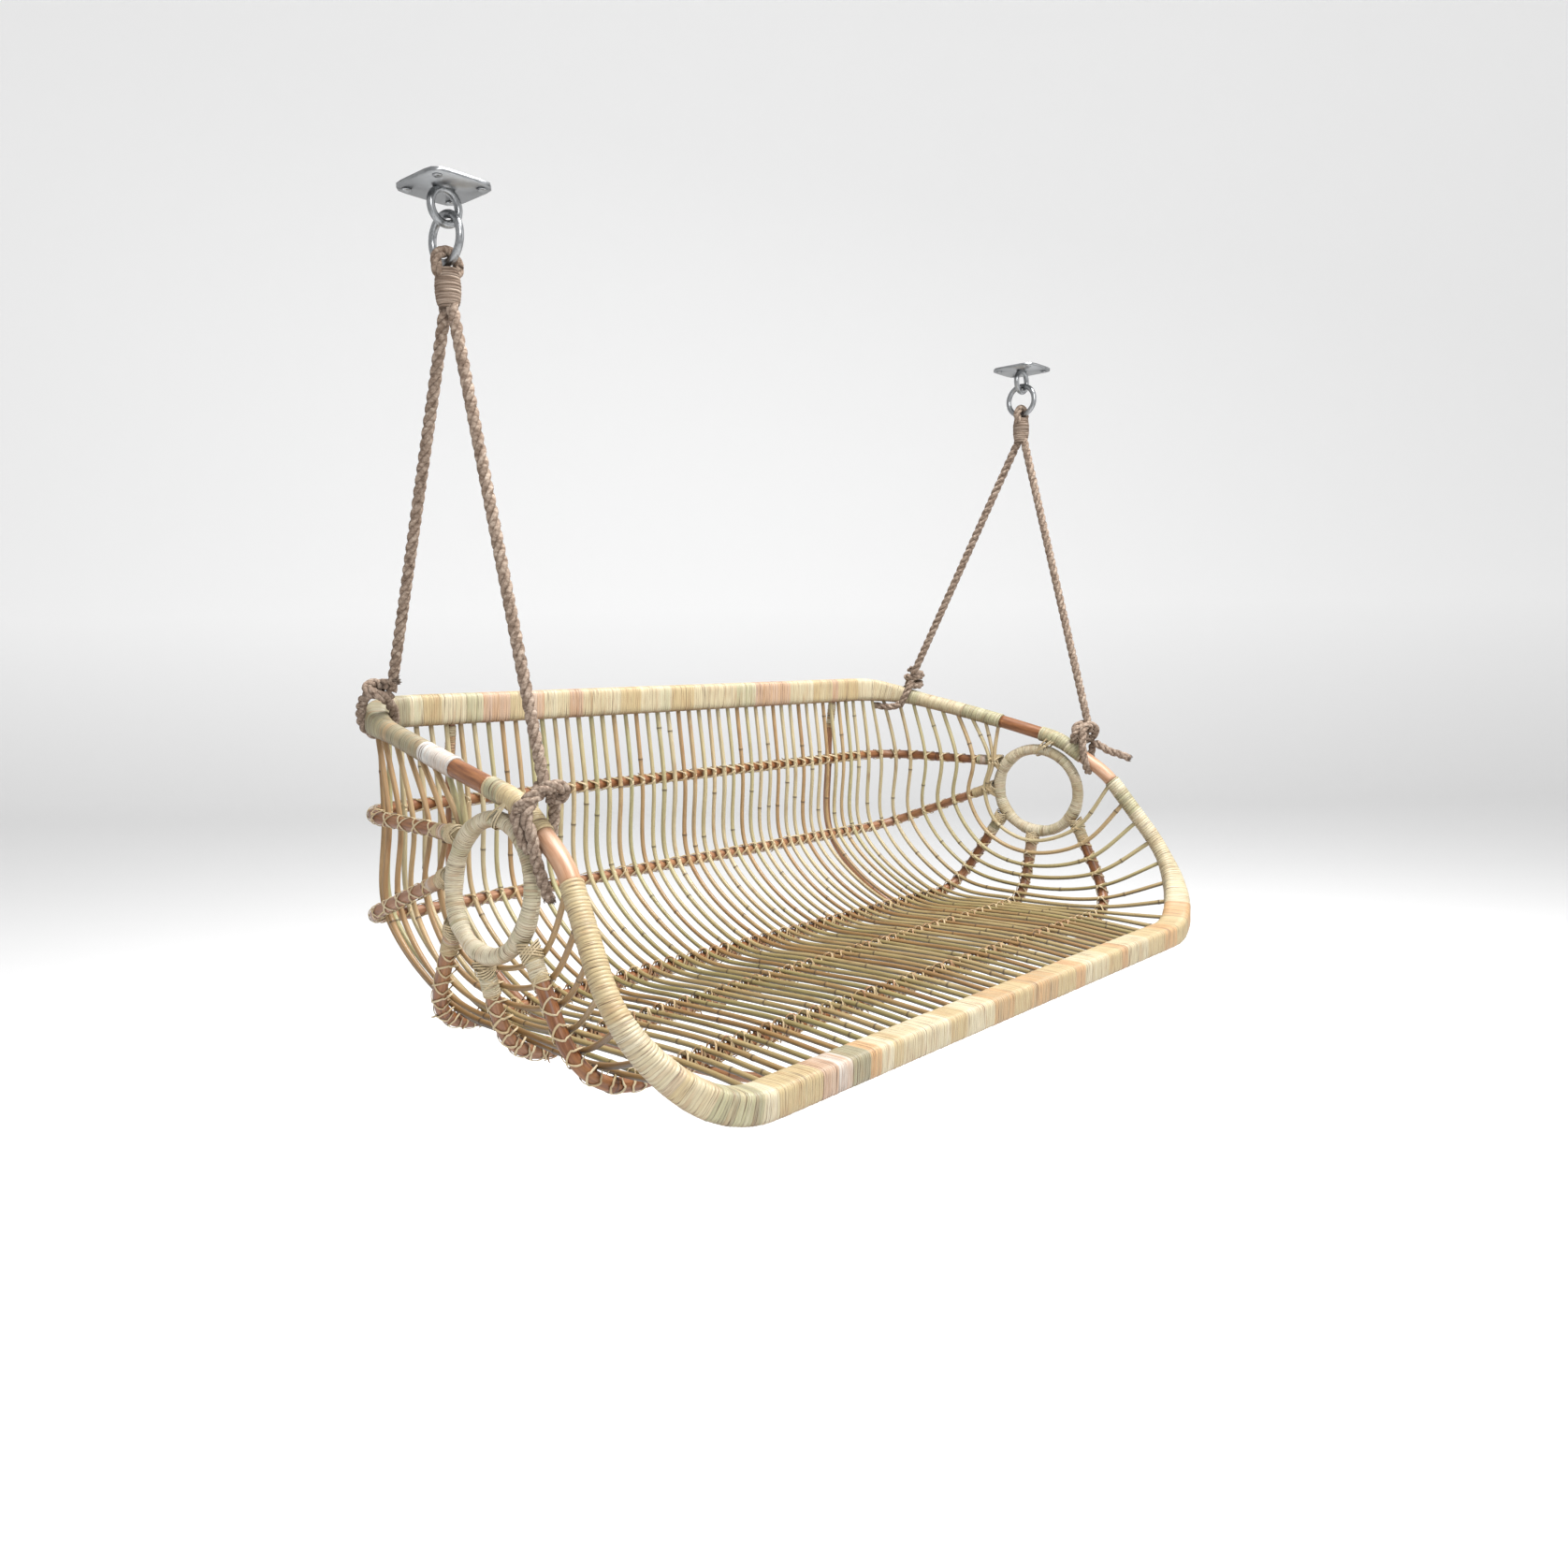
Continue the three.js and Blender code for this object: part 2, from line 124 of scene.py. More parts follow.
PITCH = 27
EVEN_ON_RAIL = 23
EVEN_ON_RIB = 20
LAST_ON_RAIL = (31, 911)
LAST_ON_RIB = 29
LAST_RIB_MARGIN = 12
LAST_POST_MARGIN = 75
STRUT_ARC = 486
HANG_X = 694

SIDES = {"left": -1, "right": 1}

# ------------------------------------------------------------------ vectors and curves


def unit(v):
    v = np.asarray(v, float)
    return v / np.linalg.norm(v)


def on_side(side, p):
    return np.array([side * p[0], p[1], p[2]], float)


class Route:
    """A dense polyline that can be read by distance along it."""

    def __init__(self, points):
        self.points = np.asarray(points, float)
        steps = np.linalg.norm(np.diff(self.points, axis=0), axis=1)
        self.arcs = np.concatenate([[0], np.cumsum(steps)])
        self.length = self.arcs[-1]

    def at(self, arc):
        return np.stack([np.interp(arc, self.arcs, self.points[:, k]) for k in range(3)], -1)

    def tangent(self, arc):
        reach = 1.5
        ahead = self.at(np.minimum(np.asarray(arc) + reach, self.length))
        behind = self.at(np.maximum(np.asarray(arc) - reach, 0))
        way = ahead - behind
        return way / np.linalg.norm(way, axis=-1, keepdims=True)

    def middle(self):
        return self.length / 2


def bent(points, bends, samples=48):
    """A path through corner points, each corner rounded over a length of both its legs."""
    points = [np.asarray(p, float) for p in points]
    path = [points[0]]
    for i in range(1, len(points) - 1):
        corner = points[i]
        before, after = points[i - 1] - corner, points[i + 1] - corner
        length = min(bends[i - 1], 0.49 * min(np.linalg.norm(before), np.linalg.norm(after)))
        start, end = corner + unit(before) * length, corner + unit(after) * length
        t = np.linspace(0, 1, samples)[:, None]
        path.extend((1 - t) ** 2 * start + 2 * t * (1 - t) * corner + t**2 * end)
    path.append(points[-1])
    return Route(path)


def mirrored(points, bends):
    left = [on_side(-1, p) for p in points]
    right = [on_side(1, p) for p in reversed(points)]
    return bent(left + right, list(bends) + list(reversed(bends)))


def smooth(points, samples=10, closed=False):
    """A centripetal Catmull-Rom curve through the points."""
    p = np.asarray(points, float)
    if closed:
        p = np.concatenate([p[-1:], p, p[:2]])
    else:
        p = np.concatenate([[2 * p[0] - p[1]], p, [2 * p[-1] - p[-2]]])
    out = []
    for i in range(1, len(p) - 2):
        a, b, c, d = p[i - 1 : i + 3]
        t0 = 0
        t1 = t0 + np.sqrt(np.linalg.norm(b - a))
        t2 = t1 + np.sqrt(np.linalg.norm(c - b))
        t3 = t2 + np.sqrt(np.linalg.norm(d - c))
        t = np.linspace(t1, t2, samples, endpoint=False)[:, None]
        a1 = (t1 - t) / (t1 - t0) * a + (t - t0) / (t1 - t0) * b
        a2 = (t2 - t) / (t2 - t1) * b + (t - t1) / (t2 - t1) * c
        a3 = (t3 - t) / (t3 - t2) * c + (t - t2) / (t3 - t2) * d
        b1 = (t2 - t) / (t2 - t0) * a1 + (t - t0) / (t2 - t0) * a2
        b2 = (t3 - t) / (t3 - t1) * a2 + (t - t1) / (t3 - t1) * a3
        out.extend((t2 - t) / (t2 - t1) * b1 + (t - t1) / (t2 - t1) * b2)
    out.append(p[-2])
    return Route(out)


upper_frame = mirrored(*UPPER)
lower_frame = mirrored(*LOWER)


def ring_axes(side):
    normal = unit(on_side(side, RING_LEAN))
    back = np.array([0, 1.0, 0])
    back = unit(back - normal * (back @ normal))
    up = np.array([0, 0, 1.0])
    up = up - normal * (up @ normal)
    up = unit(up - back * (up @ back))
    return on_side(side, RING_CENTRE), normal, back, up


def ring_point(side, degrees, radius=RING_RADIUS):
    centre, _, back, up = ring_axes(side)
    a = math.radians(degrees)
    return centre + radius * (math.cos(a) * back + math.sin(a) * up)


def rib_route(rib):
    _, radius, angle, corner, bend = rib
    ends = []
    for side in (-1, 1):
        centre, normal, _, _ = ring_axes(side)
        foot = ring_point(side, angle)
        way = unit(on_side(side, corner) - foot)
        cosine = abs(unit(np.cross(normal, foot - centre)) @ way)
        ends.append(foot + way * (RING_POLE_R + 2 * GAP + radius * cosine) / math.sqrt(1 - cosine**2))
    return bent([ends[0], on_side(-1, corner), on_side(1, corner), ends[1]], [bend, bend])


rib_routes = [rib_route(rib) for rib in RIBS]


def spaced_arc(index, even, last, last_arc):
    if index <= even:
        return (index + 0.5) * PITCH
    even_arc = (even + 0.5) * PITCH
    return even_arc + (last_arc - even_arc) * (index - even) / (last - even)


def spindle_arcs(index):
    top = spaced_arc(index, EVEN_ON_RAIL, *LAST_ON_RAIL)
    crossings = [
        spaced_arc(index, EVEN_ON_RIB, LAST_ON_RIB, r.middle() - LAST_RIB_MARGIN)
        for r in rib_routes
    ]
    bottom = spaced_arc(index, EVEN_ON_RIB, LAST_ON_RIB, lower_frame.middle() - LAST_POST_MARGIN)
    return top, crossings, bottom


def crossings_of(side, arcs, radius, inward):
    """The rail end, the crossing beside each rib, and the front end of one member."""
    top_arc, rib_arcs, bottom_arc = arcs
    top = upper_frame.at(upper_frame.middle() + side * top_arc)
    bottom = lower_frame.at(lower_frame.middle() + side * bottom_arc)
    feet = [r.at(r.middle() + side * a) for r, a in zip(rib_routes, rib_arcs)]
    tangents = [r.tangent(r.middle() + side * a) for r, a in zip(rib_routes, rib_arcs)]
    line = [top, *feet, bottom]
    crossings = []
    for k, (foot, tangent) in enumerate(zip(feet, tangents)):
        along = unit(line[k + 2] - line[k])
        normal = unit(np.cross(tangent, along))
        inside = INTERIOR * [0, 1, 1] + foot * [0.5, 0, 0] - foot
        sign = np.sign(normal @ inside)
        centre = foot + normal * sign * inward * (RIBS[k][1] + radius + 2 * GAP)
        crossings.append({"foot": foot, "tangent": tangent, "normal": normal * sign, "centre": centre})
    return top, crossings, bottom


# ------------------------------------------------------------------ mesh building


def carried_frames(points, hint=None, closed=False):
    """Two crosswise directions at each point of a line, carried along it without twist."""
    tangents = np.gradient(points, axis=0)
    if closed:
        tangents = np.roll(points, -1, 0) - np.roll(points, 1, 0)
    tangents /= np.linalg.norm(tangents, axis=1, keepdims=True)
    first = np.array([0, 0, 1.0]) if hint is None else np.asarray(hint, float)
    if abs(first @ tangents[0]) > 0.95 * np.linalg.norm(first):
        first = np.array([1.0, 0, 0])
    across = [unit(first - tangents[0] * (first @ tangents[0]))]
    for t in tangents[1:]:
        v = across[-1] - t * (across[-1] @ t)
        across.append(v / np.linalg.norm(v))
    across = np.array(across)
    return across, np.cross(tangents, across)


def level_frames(route, arcs):
    """Up and sideways at each distance along a route, up leaning only along the route."""
    tangents = route.tangent(arcs)
    up = np.array([0, 0, 1.0]) - tangents * tangents[:, 2:3]
    up /= np.linalg.norm(up, axis=1, keepdims=True)
    return up, np.cross(tangents, up)


class Skin:
    """Collects closed tubes into one mesh, with a UV map in metres and turns, and two tints."""

    def __init__(self):
        self.vertices, self.quads, self.ends = [], [], []
        self.uvs, self.end_uvs = [], []
        self.tints, self.marks, self.slots = [], [], []
        self.count = 0

    def rings(self, rings, arcs, tint=0.5, mark=0.0, closed=False, slots=None):
        """rings is (n, sides, 3); tint and mark are one number or one per ring."""
        n, sides, _ = rings.shape
        base = self.count
        self.vertices.append(rings.reshape(-1, 3))
        self.count += n * sides
        tint = np.broadcast_to(np.asarray(tint, float), (n,))
        mark = np.broadcast_to(np.asarray(mark, float), (n,))
        self.tints.append(np.repeat(tint, sides))
        self.marks.append(np.repeat(mark, sides))
        spans = n if closed else n - 1
        i = np.arange(spans)[:, None]
        j = np.arange(sides)[None, :]
        nxt, right = (i + 1) % n, (j + 1) % sides
        quads = np.stack([i * sides + j, i * sides + right, nxt * sides + right, nxt * sides + j], -1)
        self.quads.append(base + quads.reshape(-1, 4))
        u = np.append(arcs, 2 * arcs[-1] - arcs[-2]) * MM
        u0 = np.broadcast_to(u[i], (spans, sides))
        u1 = np.broadcast_to(u[i + 1], (spans, sides))
        v0 = np.broadcast_to(j / sides, (spans, sides))
        v1 = np.broadcast_to((j + 1) / sides, (spans, sides))
        uv = np.stack([u0, v0, u0, v1, u1, v1, u1, v0], -1).reshape(-1, 2)
        self.uvs.append(uv)
        chosen = np.zeros(spans, int) if slots is None else np.asarray(slots)[:spans]
        self.slots.append(np.repeat(chosen, sides))
        if not closed:
            for ring, flip in ((0, True), (n - 1, False)):
                corner = base + ring * sides + np.arange(sides)
                self.ends.append(corner[::-1] if flip else corner)
                self.end_uvs.append(np.tile([u[ring], 0.5], (sides, 1)))

    def tube(self, points, radius, sides=8, tint=0.5, mark=0.0, closed=False, hint=None, flat=None):
        """A round tube, or with flat a strip of that width and thickness lying across the hint."""
        points = np.asarray(points, float)
        across, over = carried_frames(points, hint, closed)
        angle = 2 * np.pi * np.arange(sides) / sides
        radius = np.broadcast_to(np.asarray(radius, float), (len(points),))
        x, y = np.cos(angle), np.sin(angle)
        if flat is not None:
            x, y = x * flat[1] / 2, y * flat[0] / 2
        offsets = across[:, None] * x[None, :, None] + over[:, None] * y[None, :, None]
        rings = points[:, None] + offsets * radius[:, None, None]
        self.rings(rings, Route(points).arcs, tint, mark, closed)

    def band(self, points, normals, width, thickness, tint=0.5):
        """A flat strip along the points, lying against a surface with the given normals."""
        points, normals = np.asarray(points, float), np.asarray(normals, float)
        tangents = np.gradient(points, axis=0)
        side = np.cross(tangents, normals)
        side /= np.linalg.norm(side, axis=1, keepdims=True)
        profile = np.array([(-0.5, 0), (-0.36, 0.8), (0, 1.1), (0.36, 0.8), (0.5, 0), (0, -0.3)])
        width = np.broadcast_to(np.asarray(width, float), (len(points),))
        x = profile[None, :, 0, None] * side[:, None] * width[:, None, None]
        y = profile[None, :, 1, None] * normals[:, None] * thickness
        self.rings(points[:, None] + x + y, Route(points).arcs, tint)

    def piece(self, name, materials, body, place=RAIL, replaces=()):
        vertices = np.concatenate(self.vertices) + place
        mesh = bpy.data.meshes.new(name)
        quads = np.concatenate(self.quads)
        loops = [quads.reshape(-1), *self.ends]
        sizes = np.concatenate([np.full(len(quads), 4), [len(e) for e in self.ends]]).astype(np.int32)
        loops = np.concatenate(loops).astype(np.int32)
        mesh.vertices.add(len(vertices))
        mesh.vertices.foreach_set("co", (vertices * MM).astype(np.float32).reshape(-1))
        mesh.loops.add(len(loops))
        mesh.loops.foreach_set("vertex_index", loops)
        mesh.polygons.add(len(sizes))
        starts = np.concatenate([[0], np.cumsum(sizes)[:-1]]).astype(np.int32)
        mesh.polygons.foreach_set("loop_start", starts)
        mesh.polygons.foreach_set("use_smooth", np.ones(len(sizes), bool))
        slots = np.concatenate([np.concatenate(self.slots), np.zeros(len(self.ends), int)])
        mesh.polygons.foreach_set("material_index", slots.astype(np.int32))
        layer = mesh.uv_layers.new(name="UVMap")
        uvs = np.concatenate([np.concatenate(self.uvs), *self.end_uvs]).astype(np.float32)
        layer.data.foreach_set("uv", uvs.reshape(-1))
        for label, values in (("tint", self.tints), ("mark", self.marks)):
            attribute = mesh.attributes.new(label, "FLOAT", "POINT")
            attribute.data.foreach_set("value", np.concatenate(values).astype(np.float32))
        mesh.update(calc_edges=True)
        mesh.validate()
        for material in materials:
            mesh.materials.append(material)
        obj = bpy.data.objects.new(name, mesh)
        bpy.context.collection.objects.link(obj)
        if body is not None:
            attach(obj, body)
        if replaces:
            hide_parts(*replaces)
        return obj


# ------------------------------------------------------------------ materials


CANE_ALBEDO = 0.64  # how much of a colour seen in bright light belongs to the surface itself


def colour(red, green, blue, albedo=CANE_ALBEDO):
    """Linear light from everyday 0-255 colour values."""
    def linear(c):
        c /= 255
        return albedo * (c / 12.92 if c <= 0.04045 else ((c + 0.055) / 1.055) ** 2.4)
    return (linear(red), linear(green), linear(blue), 1)


class Shader:
    """A small helper that builds one node material."""

    def __init__(self, name, roughness, metallic=0.0, specular=0.4):
        self.material = bpy.data.materials.new(name)
        self.material.use_nodes = True
        self.nodes = self.material.node_tree.nodes
        self.links = self.material.node_tree.links
        self.surface = self.nodes["Principled BSDF"]
        self.surface.inputs["Roughness"].default_value = roughness
        self.surface.inputs["Metallic"].default_value = metallic
        self.surface.inputs["Specular IOR Level"].default_value = specular

    def add(self, kind, **values):
        node = self.nodes.new(kind)
        for key, value in values.items():
            setattr(node, key, value)
        return node

    def link(self, source, target):
        self.links.new(source, target)

    def uv(self, along, around):
        """The skin's UV map, stretched so that one unit is a feature's size each way."""
        source = self.add("ShaderNodeUVMap", uv_map="UVMap")
        mapping = self.add("ShaderNodeMapping")
        mapping.inputs["Scale"].default_value = (along, around, 1)
        self.link(source.outputs["UV"], mapping.inputs["Vector"])
        return mapping.outputs["Vector"]

    def places(self, scale):
        source = self.add("ShaderNodeTexCoord")
        mapping = self.add("ShaderNodeMapping")
        mapping.inputs["Scale"].default_value = (scale, scale, scale)
        self.link(source.outputs["Object"], mapping.inputs["Vector"])
        return mapping.outputs["Vector"]

    def noise(self, vector, detail=3.0, roughness=0.6, shift=None):
        node = self.add("ShaderNodeTexNoise", noise_dimensions="4D")
        node.inputs["Scale"].default_value = 1
        node.inputs["Detail"].default_value = detail
        node.inputs["Roughness"].default_value = roughness
        self.link(vector, node.inputs["Vector"])
        if shift is not None:
            self.link(self.math("MULTIPLY", shift, 37.0), node.inputs["W"])
        return node.outputs["Fac"]

    def attribute(self, name):
        return self.add("ShaderNodeAttribute", attribute_name=name).outputs["Fac"]

    def math(self, operation, a, b=0.0, clamp=False):
        node = self.add("ShaderNodeMath", operation=operation, use_clamp=clamp)
        for value, socket in ((a, node.inputs[0]), (b, node.inputs[1])):
            if isinstance(value, (int, float)):
                socket.default_value = value
            else:
                self.link(value, socket)
        return node.outputs["Value"]

    def fit(self, value, low, high, to_low, to_high):
        node = self.add("ShaderNodeMapRange")
        for key, number in zip(("From Min", "From Max", "To Min", "To Max"), (low, high, to_low, to_high)):
            node.inputs[key].default_value = number
        self.link(value, node.inputs["Value"])
        return node.outputs["Result"]

    def ramp(self, value, stops):
        node = self.add("ShaderNodeValToRGB")
        elements = node.color_ramp.elements
        while len(elements) < len(stops):
            elements.new(0.5)
        for element, (position, rgba) in zip(elements, stops):
            element.position, element.color = position, rgba
        self.link(value, node.inputs["Fac"])
        return node.outputs["Color"]

    def mix(self, amount, a, b, blend="MIX"):
        node = self.add("ShaderNodeMix", data_type="RGBA", blend_type=blend)
        factor, first, second = node.inputs[0], node.inputs[6], node.inputs[7]
        for value, socket in ((amount, factor), (a, first), (b, second)):
            if isinstance(value, (int, float, tuple)):
                socket.default_value = value
            else:
                self.link(value, socket)
        return node.outputs[2]

    def grey(self, value):
        node = self.add("ShaderNodeCombineColor")
        for socket in node.inputs:
            self.link(value, socket)
        return node.outputs["Color"]

    def finish(self, base, bump=None, strength=0.3, distance=0.0004, roughness=None):
        self.link(base, self.surface.inputs["Base Color"])
        if roughness is not None:
            self.link(roughness, self.surface.inputs["Roughness"])
        if bump is not None:
            node = self.add("ShaderNodeBump")
            node.inputs["Strength"].default_value = strength
            node.inputs["Distance"].default_value = distance
            self.link(bump, node.inputs["Height"])
            self.link(node.outputs["Normal"], self.surface.inputs["Normal"])
        return self.material


def peel_material():
    """Rattan peel wound round a pole: each length of peel has its own colour and fine fibres, with painted
    shade in the gaps between strips and on surfaces that face down.
    """
    s = Shader("peel_wrapped_pole", 0.5)
    tint = s.attribute("tint")
    base = s.ramp(tint, [
        (0.0, colour(206, 184, 140)),
        (0.22, colour(216, 202, 168)),
        (0.32, colour(232, 220, 192)),
        (0.42, colour(190, 184, 146)),
        (0.48, colour(164, 156, 128)),
        (0.57, colour(170, 160, 130)),
        (0.66, colour(214, 174, 126)),
        (0.8, colour(206, 174, 146)),
        (1.0, colour(232, 232, 228)),
    ])
    streaks = s.noise(s.uv(1500, 1.4), 3.0, 0.7, tint)
    shaded = s.mix(1.0, base, s.grey(s.fit(streaks, 0.3, 0.7, 0.72, 1.12)), "MULTIPLY")
    blotches = s.noise(s.uv(60, 3), 2.0, 0.5, tint)
    worn = s.mix(s.fit(blotches, 0.5, 0.75, 0, 0.55), shaded, colour(172, 130, 88))
    dark = s.noise(s.uv(700, 2.6), 2.0, 0.6, tint)
    lined = s.mix(s.fit(dark, 0.56, 0.67, 0, 0.85), worn, colour(90, 60, 36))
    breaks = s.fit(s.noise(s.uv(90, 5), 2.0, 0.6), 0.4, 0.6, 0.25, 1.0)
    # painted shade: the mark darkens the gaps between strips of peel, where shade falls
    gap_shaded = s.mix(s.math("MULTIPLY", s.attribute("mark"), breaks), lined, colour(74, 50, 32))
    # painted shade: surfaces that face down are darkened, standing in for the shade under the pole
    facing = s.add("ShaderNodeSeparateXYZ")
    s.link(s.add("ShaderNodeTexCoord").outputs["Normal"], facing.inputs["Vector"])
    underside_shade = s.fit(facing.outputs["Z"], -0.95, -0.3, 1, 0)
    shaded_below = s.mix(underside_shade, gap_shaded, s.mix(1.0, gap_shaded, (0.5, 0.36, 0.24, 1), "MULTIPLY"))
    return s.finish(shaded_below, streaks, 0.45, 0.0005, s.fit(streaks, 0.3, 0.7, 0.58, 0.36))


def pole_material():
    """Bare rattan, from reddish brown to a pale rose, with long grain, joints and a soft shine."""
    s = Shader("bare_pole", 0.4, specular=0.45)
    tint = s.attribute("tint")
    grain = s.noise(s.uv(18, 16), 4.0, 0.65, tint)
    brown = s.ramp(grain, [
        (0.28, colour(82, 44, 20)),
        (0.45, colour(124, 72, 34)),
        (0.6, colour(150, 94, 48)),
        (0.78, colour(182, 130, 76)),
    ])
    rose = s.ramp(grain, [
        (0.3, colour(178, 128, 94)),
        (0.5, colour(206, 162, 130)),
        (0.7, colour(224, 192, 168)),
    ])
    base = s.mix(tint, brown, rose)
    patches = s.noise(s.uv(9, 1.5), 2.0, 0.5, tint)
    faded = s.mix(s.fit(patches, 0.5, 0.72, 0, 0.45), base, colour(182, 134, 88))
    jointed = s.mix(s.attribute("mark"), faded, colour(74, 42, 26))
    return s.finish(jointed, grain, 0.25, 0.0004)


SEAT_DROP = 400  # from the back rail down to the part of the cane that is sat on, where the painted seat shade begins
SEAT_SHADE_FADE = 0.09  # metres over which the seat's painted shade fades into the back's cane


def cane_material():
    """Cane spindles: straw and green, some browner, with dark joints, and painted shade in the seat,
    deepest where the cane faces down.
    """
    s = Shader("spindle_cane", 0.42, specular=0.45)
    tint = s.attribute("tint")
    base = s.ramp(tint, [
        (0.0, colour(184, 176, 130)),
        (0.3, colour(198, 182, 138)),
        (0.55, colour(206, 190, 152)),
        (0.75, colour(190, 158, 112)),
        (0.9, colour(176, 140, 96)),
        (1.0, colour(152, 112, 70)),
    ])
    grain = s.noise(s.uv(14, 7), 3.0, 0.6, tint)
    toned = s.mix(1.0, base, s.grey(s.fit(grain, 0.3, 0.7, 0.74, 1.08)), "MULTIPLY")
    stains = s.noise(s.uv(26, 2), 2.0, 0.5, tint)
    stained = s.mix(s.fit(stains, 0.56, 0.76, 0, 0.6), toned, colour(150, 106, 66))
    # painted shade: below the seat's top the cane is darkened to a browner tone, and more where it faces
    # down
    height = s.add("ShaderNodeSeparateXYZ")
    s.link(s.add("ShaderNodeTexCoord").outputs["Object"], height.inputs["Vector"])
    seat_top = (RAIL[2] - SEAT_DROP) * MM
    seat_shade_mask = s.fit(height.outputs["Z"], seat_top, seat_top + SEAT_SHADE_FADE, 1, 0)
    seat_shaded = s.mix(seat_shade_mask, stained, s.mix(1.0, stained, (0.63, 0.56, 0.41, 1), "MULTIPLY"))
    facing = s.add("ShaderNodeSeparateXYZ")
    s.link(s.add("ShaderNodeTexCoord").outputs["Normal"], facing.inputs["Vector"])
    underside_shade = s.grey(s.fit(facing.outputs["Z"], -0.6, 0.25, 0.2, 1))
    seat_shaded = s.mix(seat_shade_mask, seat_shaded, s.mix(1.0, seat_shaded, underside_shade, "MULTIPLY"))
    jointed = s.mix(s.attribute("mark"), seat_shaded, colour(62, 42, 28))
    return s.finish(jointed, grain, 0.2, 0.0003)


def lashing_material():
    """Thin pale strips of peel that tie the crossings."""
    s = Shader("peel_lashing", 0.5)
    tint = s.attribute("tint")
    base = s.ramp(tint, [
        (0.0, colour(220, 202, 166)),
        (0.5, colour(204, 178, 134)),
        (0.8, colour(186, 148, 108)),
        (1.0, colour(160, 116, 76)),
    ])
    fibres = s.noise(s.uv(40, 6), 2.0, 0.6, tint)
    shaded = s.mix(1.0, base, s.grey(s.fit(fibres, 0.3, 0.7, 0.75, 1.08)), "MULTIPLY")
    return s.finish(shaded, fibres, 0.3, 0.0003)


ROPE_ALBEDO = 0.84


def rope_material():
    """Weathered hemp: fine yarns lying across each strand, with painted shade in the grooves between
    strands.
    """
    s = Shader("hemp_rope", 0.92, specular=0.15)
    tint = s.attribute("tint")
    yarn = s.noise(s.uv(260, 2.5), 2.0, 0.6, tint)
    fine = s.noise(s.places(2600), 3.0, 0.7)
    both = s.math("ADD", s.math("MULTIPLY", yarn, 0.6), s.math("MULTIPLY", fine, 0.4))
    base = s.ramp(both, [
        (0.34, colour(74, 60, 51, ROPE_ALBEDO)),
        (0.46, colour(122, 104, 90, ROPE_ALBEDO)),
        (0.58, colour(164, 147, 132, ROPE_ALBEDO)),
        (0.72, colour(204, 192, 178, ROPE_ALBEDO)),
    ])
    groove_shaded = s.mix(s.attribute("mark"), base, colour(48, 38, 32, ROPE_ALBEDO))
    return s.finish(groove_shaded, both, 0.7, 0.0009)


def steel_material():
    s = Shader("steel", 0.3, 1.0)
    grain = s.noise(s.uv(300, 20), 3.0, 0.6)
    base = s.ramp(grain, [(0.3, colour(150, 152, 154)), (0.7, colour(196, 198, 200))])
    return s.finish(base, grain, 0.08, 0.0002, s.fit(grain, 0.3, 0.7, 0.24, 0.42))


PEEL = peel_material()
POLE = pole_material()
CANE = cane_material()
LASHING = lashing_material()
HEMP = rope_material()
STEEL = steel_material()

# ------------------------------------------------------------------ ropes

LAY_LENGTH = 46
STRANDS = 3
STRAND_R = 4.1
STRAND_OFFSET = 3.9


def lay_rope(skin, route, start_turn=0.0, scale=1.0, step=2.4, taper=0.0):
    """Three twisted strands along a route."""
    count = max(8, int(route.length / step))
    arcs = np.linspace(0, route.length, count)
    centres = route.at(arcs)
    across, over = carried_frames(centres)
    turn = 2 * np.pi * arcs / LAY_LENGTH + start_turn
    shrink = np.ones(count)
    if taper:
        shrink = np.clip((route.length - arcs) / taper, 0.45, 1)
    for k in range(STRANDS):
        angle = turn + 2 * np.pi * k / STRANDS
        offset = np.cos(angle)[:, None] * across + np.sin(angle)[:, None] * over
        line = centres + offset * (STRAND_OFFSET * scale) * shrink[:, None]
        sides = 11
        tangents = np.gradient(line, axis=0)
        tangents /= np.linalg.norm(tangents, axis=1, keepdims=True)
        out = offset - tangents * (offset * tangents).sum(1, keepdims=True)
        out /= np.linalg.norm(out, axis=1, keepdims=True)
        side = np.cross(tangents, out)
        a = 2 * np.pi * np.arange(sides) / sides
        radius = STRAND_R * scale * shrink[:, None] * (1 + 0.035 * np.sin(a * 3 + arcs[:, None] * 1.1))
        rings = line[:, None] + (
            np.cos(a)[None, :, None] * out[:, None] + np.sin(a)[None, :, None] * side[:, None]
        ) * radius[:, :, None]
        n = len(arcs)
        skin.rings(rings, arcs + 7 * k, RNG.random(), 0)
        # painted shade: the side of each strand that faces the rope's middle, where the strands meet, is
        # darkened
        strand_groove_shade = np.clip((-np.cos(a) - 0.1) / 0.9, 0, 1)
        skin.marks[-1] = np.tile(strand_groove_shade * 0.9, n)


ROPE_TOP = {"spread": 8.2, "z": -146.1}
ROPE_FOOT = {  # where each rope meets its knot, from the middle of the back rail
    "back": (651.7, -94.6, 38.8),
    "front": (697.1, -476.6, -79.3),
}


def rope_points(side, kind):
    """The rope's route, in the row frame in millimetres."""
    spread = ROPE_TOP["spread"] if kind == "back" else -ROPE_TOP["spread"]
    top = np.array([side * HANG_X, spread, ROPE_TOP["z"]])
    foot = on_side(side, ROPE_FOOT[kind]) + RAIL
    way = unit(foot - top)
    start, end = top - way * 6, foot + way * 7
    return start + np.linspace(0, 1, 24)[:, None] * (end - start)


